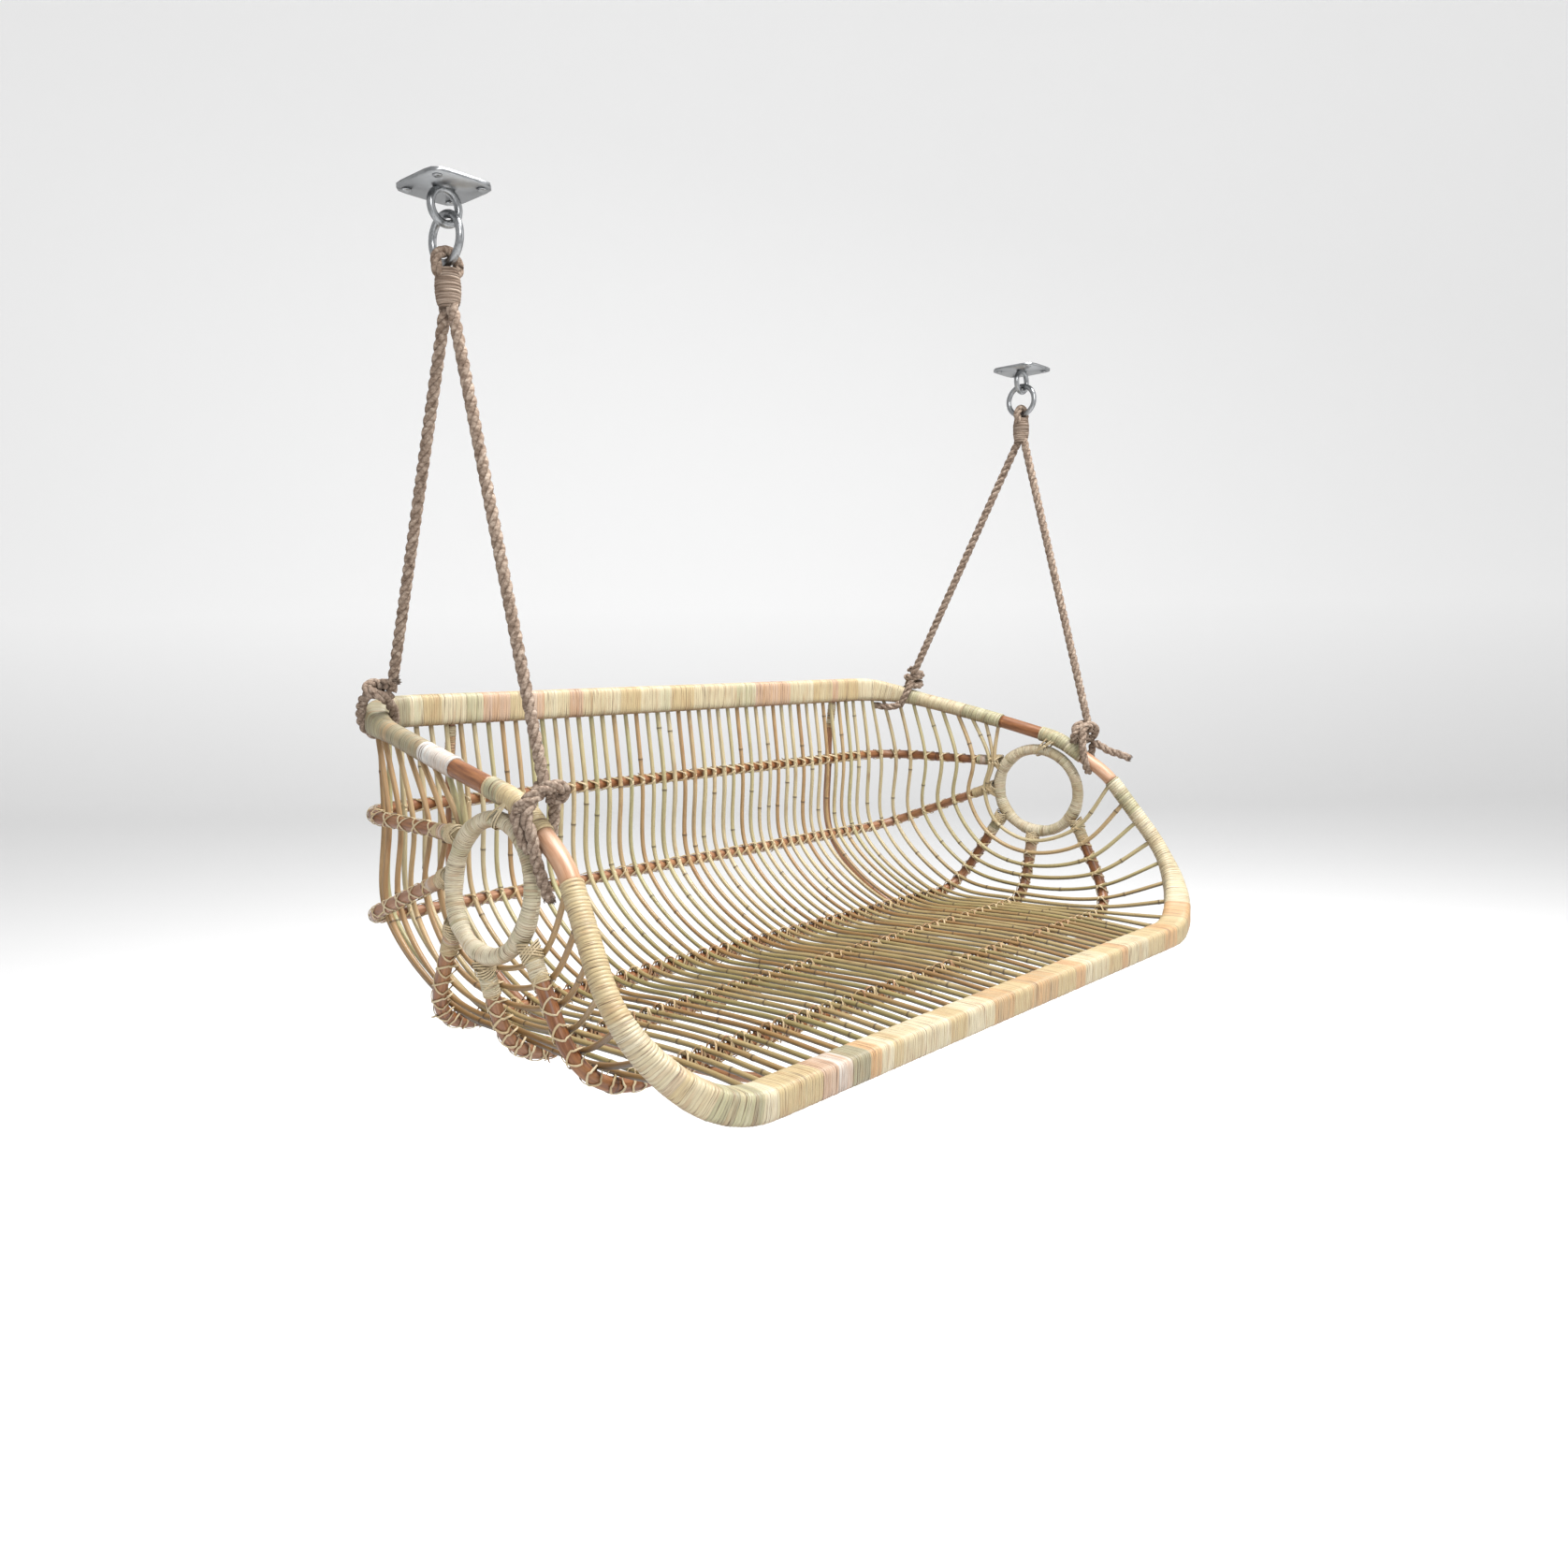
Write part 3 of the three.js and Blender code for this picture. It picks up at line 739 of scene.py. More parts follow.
ropes = {}
for word, side in SIDES.items():
    for kind in ("back", "front"):
        points = rope_points(side, kind)
        skin = Skin()
        lay_rope(skin, Route(points), RNG.random() * 6)
        rope = skin.piece(
            f"{word}_{kind}_rope_lay", [HEMP], None, CEILING, [f"{word}_{kind}_rope"]
        )
        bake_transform(rope)
        ropes[word, kind] = (rope, points)

# ------------------------------------------------------------------ wound rims


def rounded_section(width, height, edge, sides):
    """Points round a rounded rectangle, starting at its right side and evenly spaced by angle."""
    angle = 2 * np.pi * (np.arange(sides) + 0.5) / sides
    x, y = np.cos(angle), np.sin(angle)
    power = 2 + 5 * (1 - edge)
    reach = (np.abs(x) ** power + np.abs(y) ** power) ** (-1 / power)
    return np.stack([x * reach * width / 2, y * reach * height / 2], -1)


def blend_between(value, low, high):
    t = np.clip((value - low) / (high - low), 0, 1)
    return t * t * (3 - 2 * t)


STRIP = 4.6  # usual width of a strip of peel
STRIP_PROFILE = [(0.0, -0.5), (0.1, 0.05), (0.5, 0.28), (0.9, 0.05)]


def wound_arcs(low, high, strip, colours, run, gap_range=(0.1, 0.45)):
    """Ring distances, lift, tint and gap darkness (painted shade in the gaps) for strips wound side by side
    from low to high.
    """
    arcs, lifts, tints, gaps = [], [], [], []
    at = low
    left_in_run, tint = 0, 0.5
    while at < high - 0.5 * strip:
        if left_in_run <= 0:
            left_in_run = int(RNG.integers(*run))
            tint = float(np.clip(RNG.choice(colours) + RNG.normal(0, 0.035), 0, 1))
        width = strip * RNG.uniform(0.75, 1.25)
        strip_tint = float(np.clip(tint + RNG.normal(0, 0.02), 0, 1))
        rise = RNG.uniform(-0.15, 0.3)
        gap = RNG.uniform(*gap_range)
        for fraction, lift in STRIP_PROFILE:
            arcs.append(at + fraction * width)
            lifts.append(lift + rise * (fraction > 0))
            tints.append(strip_tint)
            gaps.append(gap if fraction == 0 else 0.0)
        at += width
        left_in_run -= 1
    arcs = np.array(arcs) * 1.0
    arcs = low + (arcs - low) * (high - low) / (at - low)
    last = STRIP_PROFILE[0][1]
    return np.append(arcs, high), np.append(lifts, last), np.append(tints, tints[-1]), np.append(gaps, 0.5)


def section_size(arc, band, ease):
    """Width, height and roundness of a rim's section at a distance from its middle."""
    out = blend_between(abs(arc), *ease)
    width = band["depth"] + (2 * FRAME_R + 1 - band["depth"]) * out
    height = band["height"] + (2 * FRAME_R + 1 - band["height"]) * out
    edge = 0.25 + 0.75 * out
    return width, height, edge


def bare_arcs(low, high):
    arcs = np.arange(low, high, 7.0)
    return np.append(arcs, high)


def add_rim(name, route, spans, band, ease, node, sides=30):
    """A stretch of the rim. spans are (low, high, kind, tints), measured from the rim's middle."""
    skin = Skin()
    # how dark the painted shade in the gaps between strips may be, deeper on the rails
    gap_range = (0.25, 1.0) if node.endswith("rail") else (0.05, 0.4)
    for low, high, kind, colours in spans:
        if kind == "bare":
            arcs = bare_arcs(low, high)
            lifts = np.full(len(arcs), -1.6)
            tints = np.full(len(arcs), colours)
            gaps = np.zeros(len(arcs))
        else:
            arcs, lifts, tints, gaps = wound_arcs(low, high, STRIP, colours, (5, 14), gap_range)
        positions = route.middle() + arcs
        up, side = level_frames(route, positions)
        lean = 0.16 * np.sin(np.arange(sides) * 2 * np.pi / sides)
        rings = []
        for i, arc in enumerate(arcs):
            width, height, edge = section_size(arc, band, ease)
            section = rounded_section(width + 2 * lifts[i], height + 2 * lifts[i], edge, sides)
            rings.append(section[:, :1] * side[i] + section[:, 1:] * up[i])
        rings = np.array(rings) + route.at(positions)[:, None]
        if kind != "bare":
            slant = 2.2 * lean[None, :, None] * route.tangent(positions)[:, None] * STRIP
            fade = np.minimum(arcs - arcs[0], arcs[-1] - arcs) / 12
            rings = rings + slant * np.clip(fade, 0, 1)[:, None, None]
        material = 1 if kind == "bare" else 0
        rings = np.roll(rings, round(sides / 4), axis=1)[:, ::-1]
        skin.rings(rings, arcs, tints, gaps, slots=np.full(len(arcs), material))
    return skin.piece(name, [PEEL, POLE], "seat", RAIL, [node])


STRAW, PALE, CREAM, GREEN, OLIVE, PEACH, PINK, WHITE = 0.02, 0.22, 0.32, 0.42, 0.51, 0.66, 0.8, 0.98
BACK_COLOURS = [PALE, STRAW, PALE, PINK, STRAW, GREEN, PALE]
FRONT_COLOURS = [PALE, PEACH, STRAW, PALE, PEACH, PALE, PINK, GREEN]
BROWN, ROSE = 0.08, 0.9
BACK_EASE = (585, 740)
FRONT_EASE = (640, 810)
ARM_BARE = {"left": (906, 985), "right": (918, 1010)}
POST_BARE = {"left": (966, 1045), "right": (971, 1045)}

add_rim("back_rail_wrap", upper_frame, [(-550, 550, "wound", BACK_COLOURS)], BACK_BAND, BACK_EASE,
        "back_rail", 40)
add_rim("front_rail_wrap", lower_frame, [(-563, 563, "wound", FRONT_COLOURS)], FRONT_BAND, FRONT_EASE,
        "front_rail", 40)


def mirrored_spans(side, spans):
    if side > 0:
        return spans
    return [(-high, -low, kind, tints) for low, high, kind, tints in reversed(spans)]


ARM_COLOURS = {"left": [OLIVE, GREEN, OLIVE], "right": [PALE, GREEN, PALE]}
ARM_END_COLOURS = {"left": [WHITE], "right": [PALE, GREEN]}
POST_COLOURS = {
    "left": [(563, 690, [PALE, PALE, GREEN]), (690, 850, [PALE, STRAW, PALE]), (850, None, [STRAW, PEACH])],
    "right": [(563, 700, [PALE, PEACH, STRAW]), (700, 840, [PEACH, PALE]), (840, None, [GREEN, PALE])],
}

for word, side in SIDES.items():
    bare_low, bare_high = ARM_BARE[word]
    spans = [
        (550, 830, "wound", ARM_COLOURS[word]),
        (830, bare_low, "wound", ARM_END_COLOURS[word]),
        (bare_low, bare_high, "bare", BROWN),
        (bare_high, upper_frame.middle(), "wound", [GREEN, STRAW]),
    ]
    add_rim(f"{word}_arm_wrap", upper_frame, mirrored_spans(side, spans), BACK_BAND, BACK_EASE,
            f"{word}_arm_pole")
    bare_low, bare_high = POST_BARE[word]
    spans = [(low, high or bare_low, "wound", tints) for low, high, tints in POST_COLOURS[word]]
    spans.append((bare_low, bare_high, "bare", ROSE))
    add_rim(f"{word}_front_pole_wrap", lower_frame, mirrored_spans(side, spans), FRONT_BAND,
            FRONT_EASE, f"{word}_front_pole")

# ------------------------------------------------------------------ side rings


def add_ring(word, side):
    centre, normal, back, up = ring_axes(side)
    length = 2 * math.pi * RING_RADIUS
    wound = wound_arcs(0, length, 3.4, [CREAM, PALE, CREAM, CREAM], (4, 10))
    arcs, lifts, tints, gaps = [values[:-1] for values in wound]
    angle = arcs / RING_RADIUS
    thick = np.zeros(len(arcs))
    for _, _, degrees, _, _ in RIBS:
        away = np.abs((angle - math.radians(degrees) + math.pi) % (2 * math.pi) - math.pi)
        thick = np.maximum(thick, 1.8 * (1 - blend_between(away, 0.1, 0.42)))
    sides = 18
    a = 2 * np.pi * np.arange(sides) / sides
    out = np.cos(angle)[:, None] * back + np.sin(angle)[:, None] * up
    radius = RING_POLE_R + lifts + thick
    rings = centre + out[:, None] * RING_RADIUS + radius[:, None, None] * (
        np.cos(a)[None, :, None] * out[:, None] + np.sin(a)[None, :, None] * normal
    )
    if side > 0:
        rings = rings[:, ::-1]
    skin = Skin()
    skin.rings(rings, arcs, tints, gaps, closed=True)
    skin.piece(f"{word}_side_ring_wrap", [PEEL], "seat", RAIL, [f"{word}_side_ring"])


for word, side in SIDES.items():
    add_ring(word, side)

# ------------------------------------------------------------------ poles and spindles


def joint_arcs(length, low, high, start=40):
    """Distances of the cane's natural joints."""
    found, at = [], RNG.uniform(start, high)
    while at < length - 15:
        found.append(at)
        at += RNG.uniform(low, high)
    return found


def jointed_radius(arcs, joints, radius, swell, spread):
    """Radius and darkness along a cane, swelling a little at each joint."""
    size = np.full(len(arcs), float(radius))
    mark = np.zeros(len(arcs))
    for at in joints:
        size += radius * swell * np.exp(-(((arcs - at) / spread) ** 2))
        mark = np.maximum(mark, 0.9 * np.exp(-(((arcs - at - 0.5) / (0.42 * spread)) ** 2)))
    return size, mark


JOINT_STEPS = (-6, -3.5, -2, -1, 0, 1, 2, 3.5, 6)


def cane_arcs(length, joints, step):
    near = [at + d for at in joints for d in JOINT_STEPS]
    arcs = np.unique(np.concatenate([np.arange(0, length, step), near, [length]]))
    arcs = arcs[(arcs >= 0) & (arcs <= length)]
    keep = np.concatenate([[True], np.diff(arcs) > 0.3])
    return arcs[keep]


def add_cane(skin, route, radius, sides, tint, step, gaps, swell=0.14, wobble=0.7):
    joints = joint_arcs(route.length, *gaps)
    arcs = cane_arcs(route.length, joints, step)
    size, mark = jointed_radius(arcs, joints, radius, swell, 3.2)
    size = size * (1 + 0.03 * np.sin(arcs / 43 + 9 * tint))
    points = route.at(arcs)
    across, over = carried_frames(points)
    sway = wobble * np.sin(arcs / 61 + 20 * tint)[:, None] * across
    sway = sway + wobble * np.sin(arcs / 47 + 33 * tint)[:, None] * over
    skin.tube(points + sway, size, sides, tint, mark)


RIB_WRAP = 46  # length of peel wound round each rib's end

for rib, route in zip(RIBS, rib_routes):
    name, radius = rib[0], rib[1]
    skin = Skin()
    add_cane(skin, route, radius, 16, RNG.uniform(0.05, 0.3), 9, (180, 330), 0.07, 0.4)
    skin.slots = [np.full(len(s), 1) for s in skin.slots]
    for low, high in ((0, RIB_WRAP), (route.length - RIB_WRAP, route.length)):
        arcs, lifts, tints, gaps = wound_arcs(low, high, 3.0, [PALE, PINK, STRAW, GREEN], (3, 8))
        skin.tube(route.at(arcs), radius + 1.5 + lifts, 16, tints, gaps)
    skin.piece(f"{name}_pole", [PEEL, POLE], "seat", RAIL, [name])

# painted shade: spindles past this index get browner tints, standing in for the shade on the outermost
# spindles
SHADED_TINT_FROM = {"left": 22, "right": 40}
spindle_tints = np.concatenate([RNG.uniform(0, 0.6, 52), RNG.uniform(0.6, 0.85, 16)])
RNG.shuffle(spindle_tints)
crossing_list = [[] for _ in RIBS]

for word, side in SIDES.items():
    for index in range(LAST_ON_RIB + 1):
        top, crossings, bottom = crossings_of(side, spindle_arcs(index), SPINDLE_R, 1)
        for k, crossing in enumerate(crossings):
            crossing_list[k].append(crossing)
        route = smooth([top, *[c["centre"] for c in crossings], bottom], 26)
        tint = spindle_tints[index + (34 if side > 0 else 0)]
        if index > SHADED_TINT_FROM[word]:
            tint = 0.7 + tint / 3
        skin = Skin()
        add_cane(skin, route, SPINDLE_R * RNG.uniform(0.92, 1.06), 10, tint, 10, (110, 300))
        number = f"{index:02d}"
        replaced = [f"{word}_spindle_{number}"] if index % 2 else []
        skin.piece(f"{word}_spindle_{number}_cane", [CANE], "seat", RAIL, replaced)

# the last two spindles on each side run from the arm to the ring
SHORT_SPINDLES = [(30, (0, 1), -14), (31, (0,), 24)]
for word, side in SIDES.items():
    for index, rib_ids, degrees in SHORT_SPINDLES:
        top, crossings, _ = crossings_of(side, spindle_arcs(LAST_ON_RIB), SPINDLE_R, 1)
        top = upper_frame.at(upper_frame.middle() + side * spaced_arc(index, EVEN_ON_RAIL, *LAST_ON_RAIL))
        points = [top]
        for k in rib_ids:
            r = rib_routes[k]
            foot = r.at(r.middle() + side * (r.middle() + 14 - 19 * (31 - index)))
            crossing = crossings[k]
            points.append(foot + crossing["centre"] - crossing["foot"])
            crossing_list[k].append({**crossing, "foot": foot})
        points.append(ring_point(side, degrees))
        skin = Skin()
        add_cane(skin, smooth(points, 20), SPINDLE_R * 0.95, 10, RNG.random(), 10, (60, 160))
        skin.piece(f"{word}_spindle_{index}_cane", [CANE], "seat", RAIL, [])

for word, side in SIDES.items():
    arcs = (STRUT_ARC, [STRUT_ARC] * len(RIBS), STRUT_ARC)
    top, crossings, bottom = crossings_of(side, arcs, STRUT_R, -1)
    route = smooth([top, *[c["centre"] for c in crossings], bottom], 26)
    skin = Skin()
    add_cane(skin, route, STRUT_R, 14, 0.3, 9, (200, 340), 0.08)
    skin.slots = [np.full(len(s), 1) for s in skin.slots]
    for low, high in ((26, 78), (route.length - 60, route.length - 24)):
        arcs, lifts, tints, gaps = wound_arcs(low, high, 4.0, [STRAW, PALE, PEACH], (2, 5))
        skin.tube(route.at(arcs), STRUT_R + 1.0 + lifts, 14, tints, gaps)
    skin.piece(f"{word}_back_strut_pole", [PEEL, POLE], "seat", RAIL, [f"{word}_back_strut"])

# ------------------------------------------------------------------ lashings

LOOP_POINTS = 22


LASH_FALL = 3  # how far beside a spindle its lashing comes down to the rib


def lash_crossing(skin, crossing, radius, reach, slopes, tones, loose):
    """Crossed loops of thin peel that hold a spindle against a rib."""
    foot, tangent, normal = crossing["foot"], crossing["tangent"], crossing["normal"]
    over = np.cross(tangent, normal)
    for slope in slopes:
        angle = np.linspace(0, 2 * np.pi, LOOP_POINTS) + RNG.uniform(-0.1, 0.1)
        near = np.cos(angle)
        extra = RNG.uniform(0, 0.5)
        shift = slope * reach * np.sin(angle) * np.where(near > 0, 0.75, 1.0)
        shift = shift + RNG.uniform(-1, 1)
        aside = np.abs(shift)
        rise = np.sqrt(np.maximum(SPINDLE_R**2 - aside**2, 0))
        fall = np.clip(1 - (aside - SPINDLE_R) / LASH_FALL, 0, 1)
        on_top = blend_between(near, 0.3, 0.75)
        lift = np.where(aside < SPINDLE_R, SPINDLE_R + rise, SPINDLE_R * fall) * on_top
        size = radius + 0.7 + lift + extra
        direction = np.cos(angle)[:, None] * normal + np.sin(angle)[:, None] * over
        points = foot + direction * size[:, None] + shift[:, None] * tangent
        lean = (np.clip(shift / SPINDLE_R, -1, 1) * on_top)[:, None] * tangent
        facing = direction + lean
        facing = facing / np.linalg.norm(facing, axis=1, keepdims=True)
        width = RNG.uniform(2.6, 3.8)
        skin.band(points, facing, width, 0.9, RNG.uniform(*tones))
        if RNG.random() < loose:
            start = points[int(RNG.integers(7, 15))]
            out = unit(start - foot)
            tip = start + out * RNG.uniform(4, 8) + tangent * slope * RNG.uniform(2, 8)
            bow = (start + tip) / 2 + out * 2
            route = smooth([start - out, bow, tip], 4)
            count = len(route.points)
            skin.band(route.points, np.tile(tangent, (count, 1)), np.linspace(3.6, 1.2, count), 0.9,
                      RNG.uniform(*tones))


SEAT_HALF = 610  # how far from the middle the seat's denser lashings reach

for k, rib in enumerate(RIBS):
    seat = k >= 2
    skin = Skin()
    for crossing in crossing_list[k]:
        on_seat = seat and abs(crossing["foot"][0]) < SEAT_HALF
        slopes = (-1, 1, -0.5, 0.6) if on_seat else (-1, 1)
        tones = (0.3, 1.0) if on_seat else (0.0, 0.5)
        lash_crossing(skin, crossing, rib[1], 11, slopes, tones, 0.6 if on_seat else 0.05)
    skin.piece(f"{rib[0]}_lashings", [LASHING], "seat", RAIL, [])


def tie(skin, centre, axis, radius, low, high, turns, width, tint=0.2, tilt=0.0):
    """Peel wound round an axis from low to high, as a helix."""
    axis = unit(axis)
    across = unit(np.cross(axis, [0.3, 0.2, 1]))
    over = np.cross(axis, across)
    t = np.linspace(0, 1, int(turns * 20) + 1)
    angle = 2 * np.pi * turns * t
    direction = np.cos(angle)[:, None] * across + np.sin(angle)[:, None] * over
    shift = low + (high - low) * t + tilt * np.sin(angle)
    points = centre + direction * radius + shift[:, None] * axis
    skin.band(points, direction, width, 0.9, tint)


for word, side in SIDES.items():
    skin = Skin()
    for rib, route in zip(RIBS, rib_routes):
        arc = 4 if side < 0 else route.length - 4
        foot, way = route.at(arc), route.tangent(arc)
        for tilt, tint in ((7, 0.1), (-7, 0.3)):
            tie(skin, foot, way, rib[1] + 3.6, -5, 7, 3.2, 2.6, tint, tilt)
    # the ring hangs from the arm by a few crossed turns round both
    arm = upper_frame.middle() + side * 1040
    low, high = ring_point(side, 96), upper_frame.at(arm)
    for tilt, tint in ((9, 0.1), (-9, 0.3), (3, 0.0)):
        way = upper_frame.tangent(arm)
        centre = (low + high) / 2
        up = unit(high - low)
        outward = np.cross(way, up)
        angle = np.linspace(0, 2 * np.pi, 40)
        direction = np.sin(angle)[:, None] * up + np.cos(angle)[:, None] * outward
        tall = np.linalg.norm(high - low) / 2 + FRAME_R + 2.4
        points = centre + np.sin(angle)[:, None] * up * tall
        points = points + np.cos(angle)[:, None] * outward * (FRAME_R + 3.5)
        points = points + way * (tilt * np.sin(angle + 0.6)[:, None])
        skin.band(points, direction, 3.4, 1.0, tint)
    skin.piece(f"{word}_ring_ties", [LASHING], "seat", RAIL, [])

# ------------------------------------------------------------------ knots


FRONT_ROPE = {  # outward, back and up from the frame's joint
    "left": [(1, 2, 60), (15, -7, 52), (27, -4, 44), (35, 6, 30), (33, 4, 10), (25, 2, -12),
             (0, 10, -17), (-21, 12, -3), (-27, 11, 24), (-17, 1, 47), (8, -7, 51), (26, -8, 38),
             (31, -8, 23), (28, -13, 4), (26, -14, -16), (18, -11, -36), (11, -11, -56), (5, -14, -76)],
    "right": [(7, -2, 62), (-12, 0, 57), (-19, 9, 45), (-8, 16, 31), (14, 12, 30), (26, -3, 36),
              (21, -16, 50), (5, -16, 63), (-13, -9, 60), (-23, -10, 40), (-25, -12, 13),
              (-17, -14, -13), (0, -12, -29), (23, -5, -14), (34, -2, 12), (26, -10, 26),
              (23, -24, 22), (31, -40, 11), (44, -56, 4), (58, -70, -4)],
}
FRONT_BIGHT = {
    "left": [(18, -3, 46), (8, -12, 57), (-7, -18, 60), (-21, -17, 54), (-24, -7, 44), (-14, 7, 39)],
    "right": [(10, -6, 66), (-4, 8, 64), (-14, 12, 52), (-6, 4, 40), (10, -4, 40)],
}
# outward across the rim, forward along it, and up, from the rim's corner
CORNER_ARC = 655
CORNER_LOOP = {
    "left": [(-8, 56, 50), (3, 50, 48), (13, 38, 39), (19, 24, 23), (21, 10, 5), (17, -2, -12),
             (3, -8, -23), (-14, -6, -19), (-23, 2, -6), (-25, 14, 12), (-20, 32, 30), (-10, 48, 46)],
    "right": [(-8, 56, 50), (3, 52, 48), (13, 46, 39), (19, 38, 23), (21, 30, 5), (17, 24, -12),
              (3, 20, -23), (-14, 22, -19), (-23, 28, -6), (-25, 36, 12), (-20, 44, 30), (-10, 50, 46)],
}
CORNER_HITCH = {
    "left": [(-22, 44, 42), (-13, 62, 46), (2, 64, 52), (8, 52, 58), (-4, 42, 60), (-16, 50, 60),
             (-14, 64, 62)],
    "right": [(-20, 40, 24), (-14, 60, 26), (4, 64, 32), (10, 48, 38), (-2, 36, 40), (-20, 42, 42),
              (-16, 62, 46), (2, 66, 52), (9, 52, 56), (-2, 42, 58)],
}
CORNER_STUB = {
    "left": [(-10, 44, 56), (-20, 52, 62), (-33, 60, 66)],
    "right": [(-18, 20, -20), (-14, 4, -29), (-9, -14, -32), (-6, -36, -33)],
}


def add_knot(name, node, lines, tails):
    """Lays rope along each smooth line; tails end frayed."""
    skin = Skin()
    for line in [*lines, *tails]:
        lay_rope(skin, smooth(line, 12), RNG.random() * 6, 0.97)
    for line in tails:
        route = smooth(line, 12)
        end, way = route.points[-1], route.tangent(route.length)
        for _ in range(40):
            spread = RNG.normal(0, 1, 3)
            spread = unit(spread - way * (spread @ way))
            base = end - way * 3 + spread * RNG.uniform(0, 6)
            tip = base + way * RNG.uniform(4, 9) + spread * RNG.uniform(0, 2.5)
            skin.tube([base, (base + tip) / 2 + spread, tip], np.array([0.9, 0.7, 0.3]), 4, 0.9, 0.5)
    return skin.piece(name, [HEMP], "seat", RAIL, [node])


def corner_points(side, offsets):
    """Points round the rim's back corner from (outward, forward, up) offsets."""
    at = upper_frame.middle() + side * CORNER_ARC
    centre = upper_frame.at(at)
    forward = upper_frame.tangent(at) * side
    outward = unit([side * -forward[1] * side, side * forward[0] * side, 0])
    if outward[0] * side < 0:
        outward = -outward
    return [centre + o * outward + f * forward + u * Z for o, f, u in offsets]


for word, side in SIDES.items():
    joint = on_side(side, JOINT)
    rope = [joint + on_side(side, p) for p in FRONT_ROPE[word]]
    bight = [joint + on_side(side, p) for p in FRONT_BIGHT[word]]
    name = f"{word}_front_knot"
    add_knot(f"{name}_rope", name, [bight], [rope])

    lines = [corner_points(side, CORNER_LOOP[word]), corner_points(side, CORNER_HITCH[word])]
    name = f"{word}_back_knot"
    tail = corner_points(side, CORNER_STUB[word])
    add_knot(f"{name}_rope", name, lines, [tail])

# ------------------------------------------------------------------ top loops, rings, plates

EYE_DROP, EYE_RADIUS, WIRE = 26, 20, 5
HANG_RING_RADIUS, HANG_RING_Z = 28, -62.8
LOOP_RADIUS, LOOP_Z = 16, -93.6
WHIPPING_TOP, WHIPPING_LENGTH = -97.6, 44


def torus_points(centre, first, second, radius, count=48):
    angle = 2 * np.pi * np.arange(count) / count
    return centre + radius * (np.cos(angle)[:, None] * first + np.sin(angle)[:, None] * second)


for word, side in SIDES.items():
    top = np.array([side * HANG_X, 0, 0.0])

    skin = Skin()
    loop = torus_points(top + Z * LOOP_Z, X, -Z, LOOP_RADIUS, 30)
    lay_rope(skin, Route(np.concatenate([loop, loop[:1]])), 0, 0.93)
    rows, at = [], WHIPPING_TOP
    arcs, lifts, tints, _ = wound_arcs(0, WHIPPING_LENGTH + 3, 3.4, [0.3, 0.5], (2, 5))
    line = top + Z * WHIPPING_TOP - Z * arcs[:, None]
    shape = 11.5 + 4.2 * np.sin(np.pi * np.clip(arcs / WHIPPING_LENGTH, 0, 1)) ** 0.5
    # painted shade: the gaps between the whipping's turns get the rope's dark groove mark
    skin.tube(line, shape + lifts, 20, tints, np.where(lifts < 0, 0.5, 0.0))
    loop_piece = skin.piece(f"{word}_top_loop_rope", [HEMP], f"{word}_ropes", CEILING,
                            [f"{word}_top_loop"])
    for kind in ("back", "front"):
        rope, points = ropes[word, kind]

    skin = Skin()
    skin.tube(torus_points(top + Z * HANG_RING_Z, Y, Z, HANG_RING_RADIUS), WIRE, 16, closed=True)
    skin.piece(f"{word}_hang_ring_steel", [STEEL], "hang_rings", CEILING, [f"{word}_hang_ring"])

    skin = Skin()
    skin.tube(torus_points(top - Z * EYE_DROP, X, Z, EYE_RADIUS), WIRE, 16, closed=True)
    corner, sides = 10, 32
    for low, high, inset in ((-6, -0.8, 0), (-0.8, 0, 1.2)):
        levels = np.linspace(low, high, 3)
        rings = []
        for level in levels:
            shrink = inset * (level - low) / (high - low) if inset else 0
            section = rounded_section(90 - 2 * shrink, 90 - 2 * shrink, 0.15, sides)
            rings.append(top + section[:, :1] * X + section[:, 1:] * Y + level * Z)
        skin.rings(np.array(rings), levels - low)
    for sx in (-1, 1):
        for sy in (-1, 1):
            head = top + np.array([sx * 32, sy * 32, -6.0])
            depth = np.array([0.2, -1.2, -2.2, -2.6])
            size = np.array([6.0, 5.8, 4.4, 2.0])
            skin.tube(head + depth[:, None] * Z, size, 16)
    skin.piece(f"{word}_ceiling_eye_steel", [STEEL], "ceiling_fittings", CEILING,
               [f"{word}_ceiling_eye_plate"])

# ------------------------------------------------------------------ studio


FLOOR_DROP = 980  # from the back rail down to the floor
WALL_BEND = 2500
FLOOR_SHADE, WALL_SHADE = 226, 252


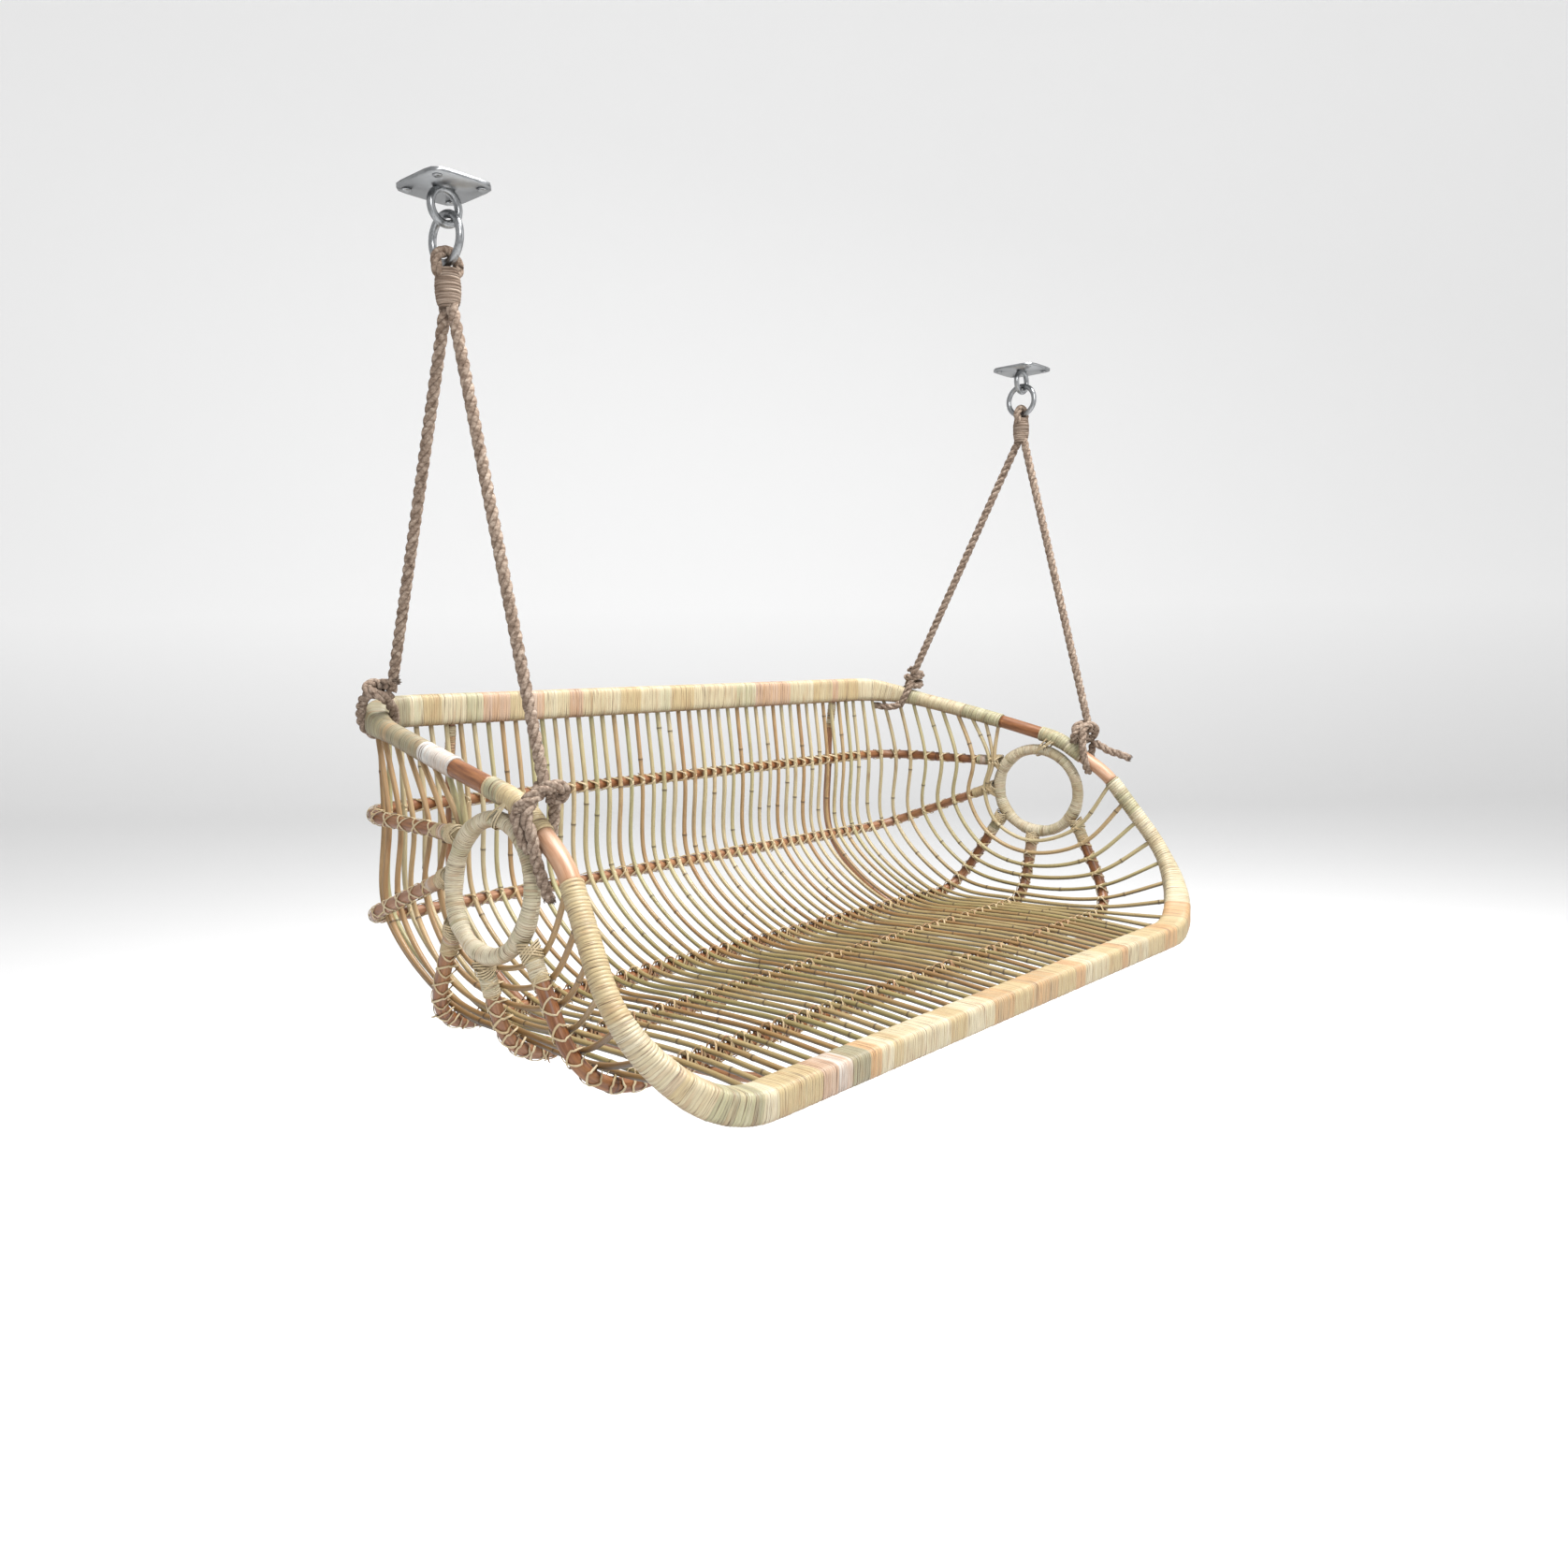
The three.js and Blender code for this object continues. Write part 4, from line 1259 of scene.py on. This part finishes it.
def studio_material():
    """A pale grey floor that turns near white where it curves up into the wall."""
    s = Shader("studio_sheet", 0.9, specular=0.1)
    source = s.add("ShaderNodeTexCoord")
    split = s.add("ShaderNodeSeparateXYZ")
    s.link(source.outputs["Object"], split.inputs["Vector"])
    floor = (RAIL[2] - FLOOR_DROP) * MM
    height = s.fit(split.outputs["Z"], floor, floor + WALL_BEND * MM * 0.6, 0, 1)
    tone = s.math("ADD", height, s.math("MULTIPLY", s.noise(s.places(0.6), 1.0, 0.5), 0.03))
    shades = [colour(*[shade] * 3, albedo=1) for shade in (FLOOR_SHADE, WALL_SHADE)]
    return s.finish(s.mix(tone, *shades))


def add_backdrop():
    """A pale floor that curves up into a wall behind the bench, all one sheet."""
    floor = RAIL[2] - FLOOR_DROP
    reach, tall, half_width = 9000, 9000, 12000
    angle = np.linspace(0, np.pi / 2, 16)
    profile = [(-reach, floor)]
    for a in angle:
        profile.append((reach - WALL_BEND * (1 - math.sin(a)), floor + WALL_BEND * (1 - math.cos(a))))
    profile.append((reach, floor + tall))
    heading = math.radians(-CAMERA_HEADING)
    forward = np.array([math.sin(heading), math.cos(heading), 0])
    right = np.array([math.cos(heading), -math.sin(heading), 0])
    vertices, faces = [], []
    for distance, height in profile:
        for across in (-half_width, half_width):
            vertices.append(tuple((forward * distance + right * across + Z * height) * MM))
    for i in range(len(profile) - 1):
        faces.append((2 * i, 2 * i + 1, 2 * i + 3, 2 * i + 2))
    mesh = bpy.data.meshes.new("floor")
    mesh.from_pydata(vertices, [], faces)
    mesh.polygons.foreach_set("use_smooth", [True] * len(faces))
    mesh.materials.append(studio_material())
    sheet = bpy.data.objects.new("floor", mesh)
    bpy.context.collection.objects.link(sheet)


def add_light(name, place, aim, size, power):
    data = bpy.data.lights.new(name, "AREA")
    data.shape = "DISK"
    data.size = size
    data.energy = power
    light = bpy.data.objects.new(name, data)
    bpy.context.collection.objects.link(light)
    light.location = place
    light.rotation_euler = (Vector(aim) - Vector(place)).to_track_quat("-Z", "Y").to_euler()


add_backdrop()
middle = (RAIL + [0, -350, -250]) * MM
add_light("top", (0.2, -0.8, 2.4), middle, 1.8, 255)
add_light("key", (-2.5, -3.7, 1.7), middle, 1.2, 115)
add_light("fill", (2.6, -2.6, 0.6), middle, 2.4, 25)
world = bpy.data.worlds.new("studio")
world.use_nodes = True
world.node_tree.nodes["Background"].inputs["Color"].default_value = (1, 1, 1, 1)
world.node_tree.nodes["Background"].inputs["Strength"].default_value = 0.78
bpy.context.scene.world = world
bpy.context.scene.view_settings.view_transform = "Standard"
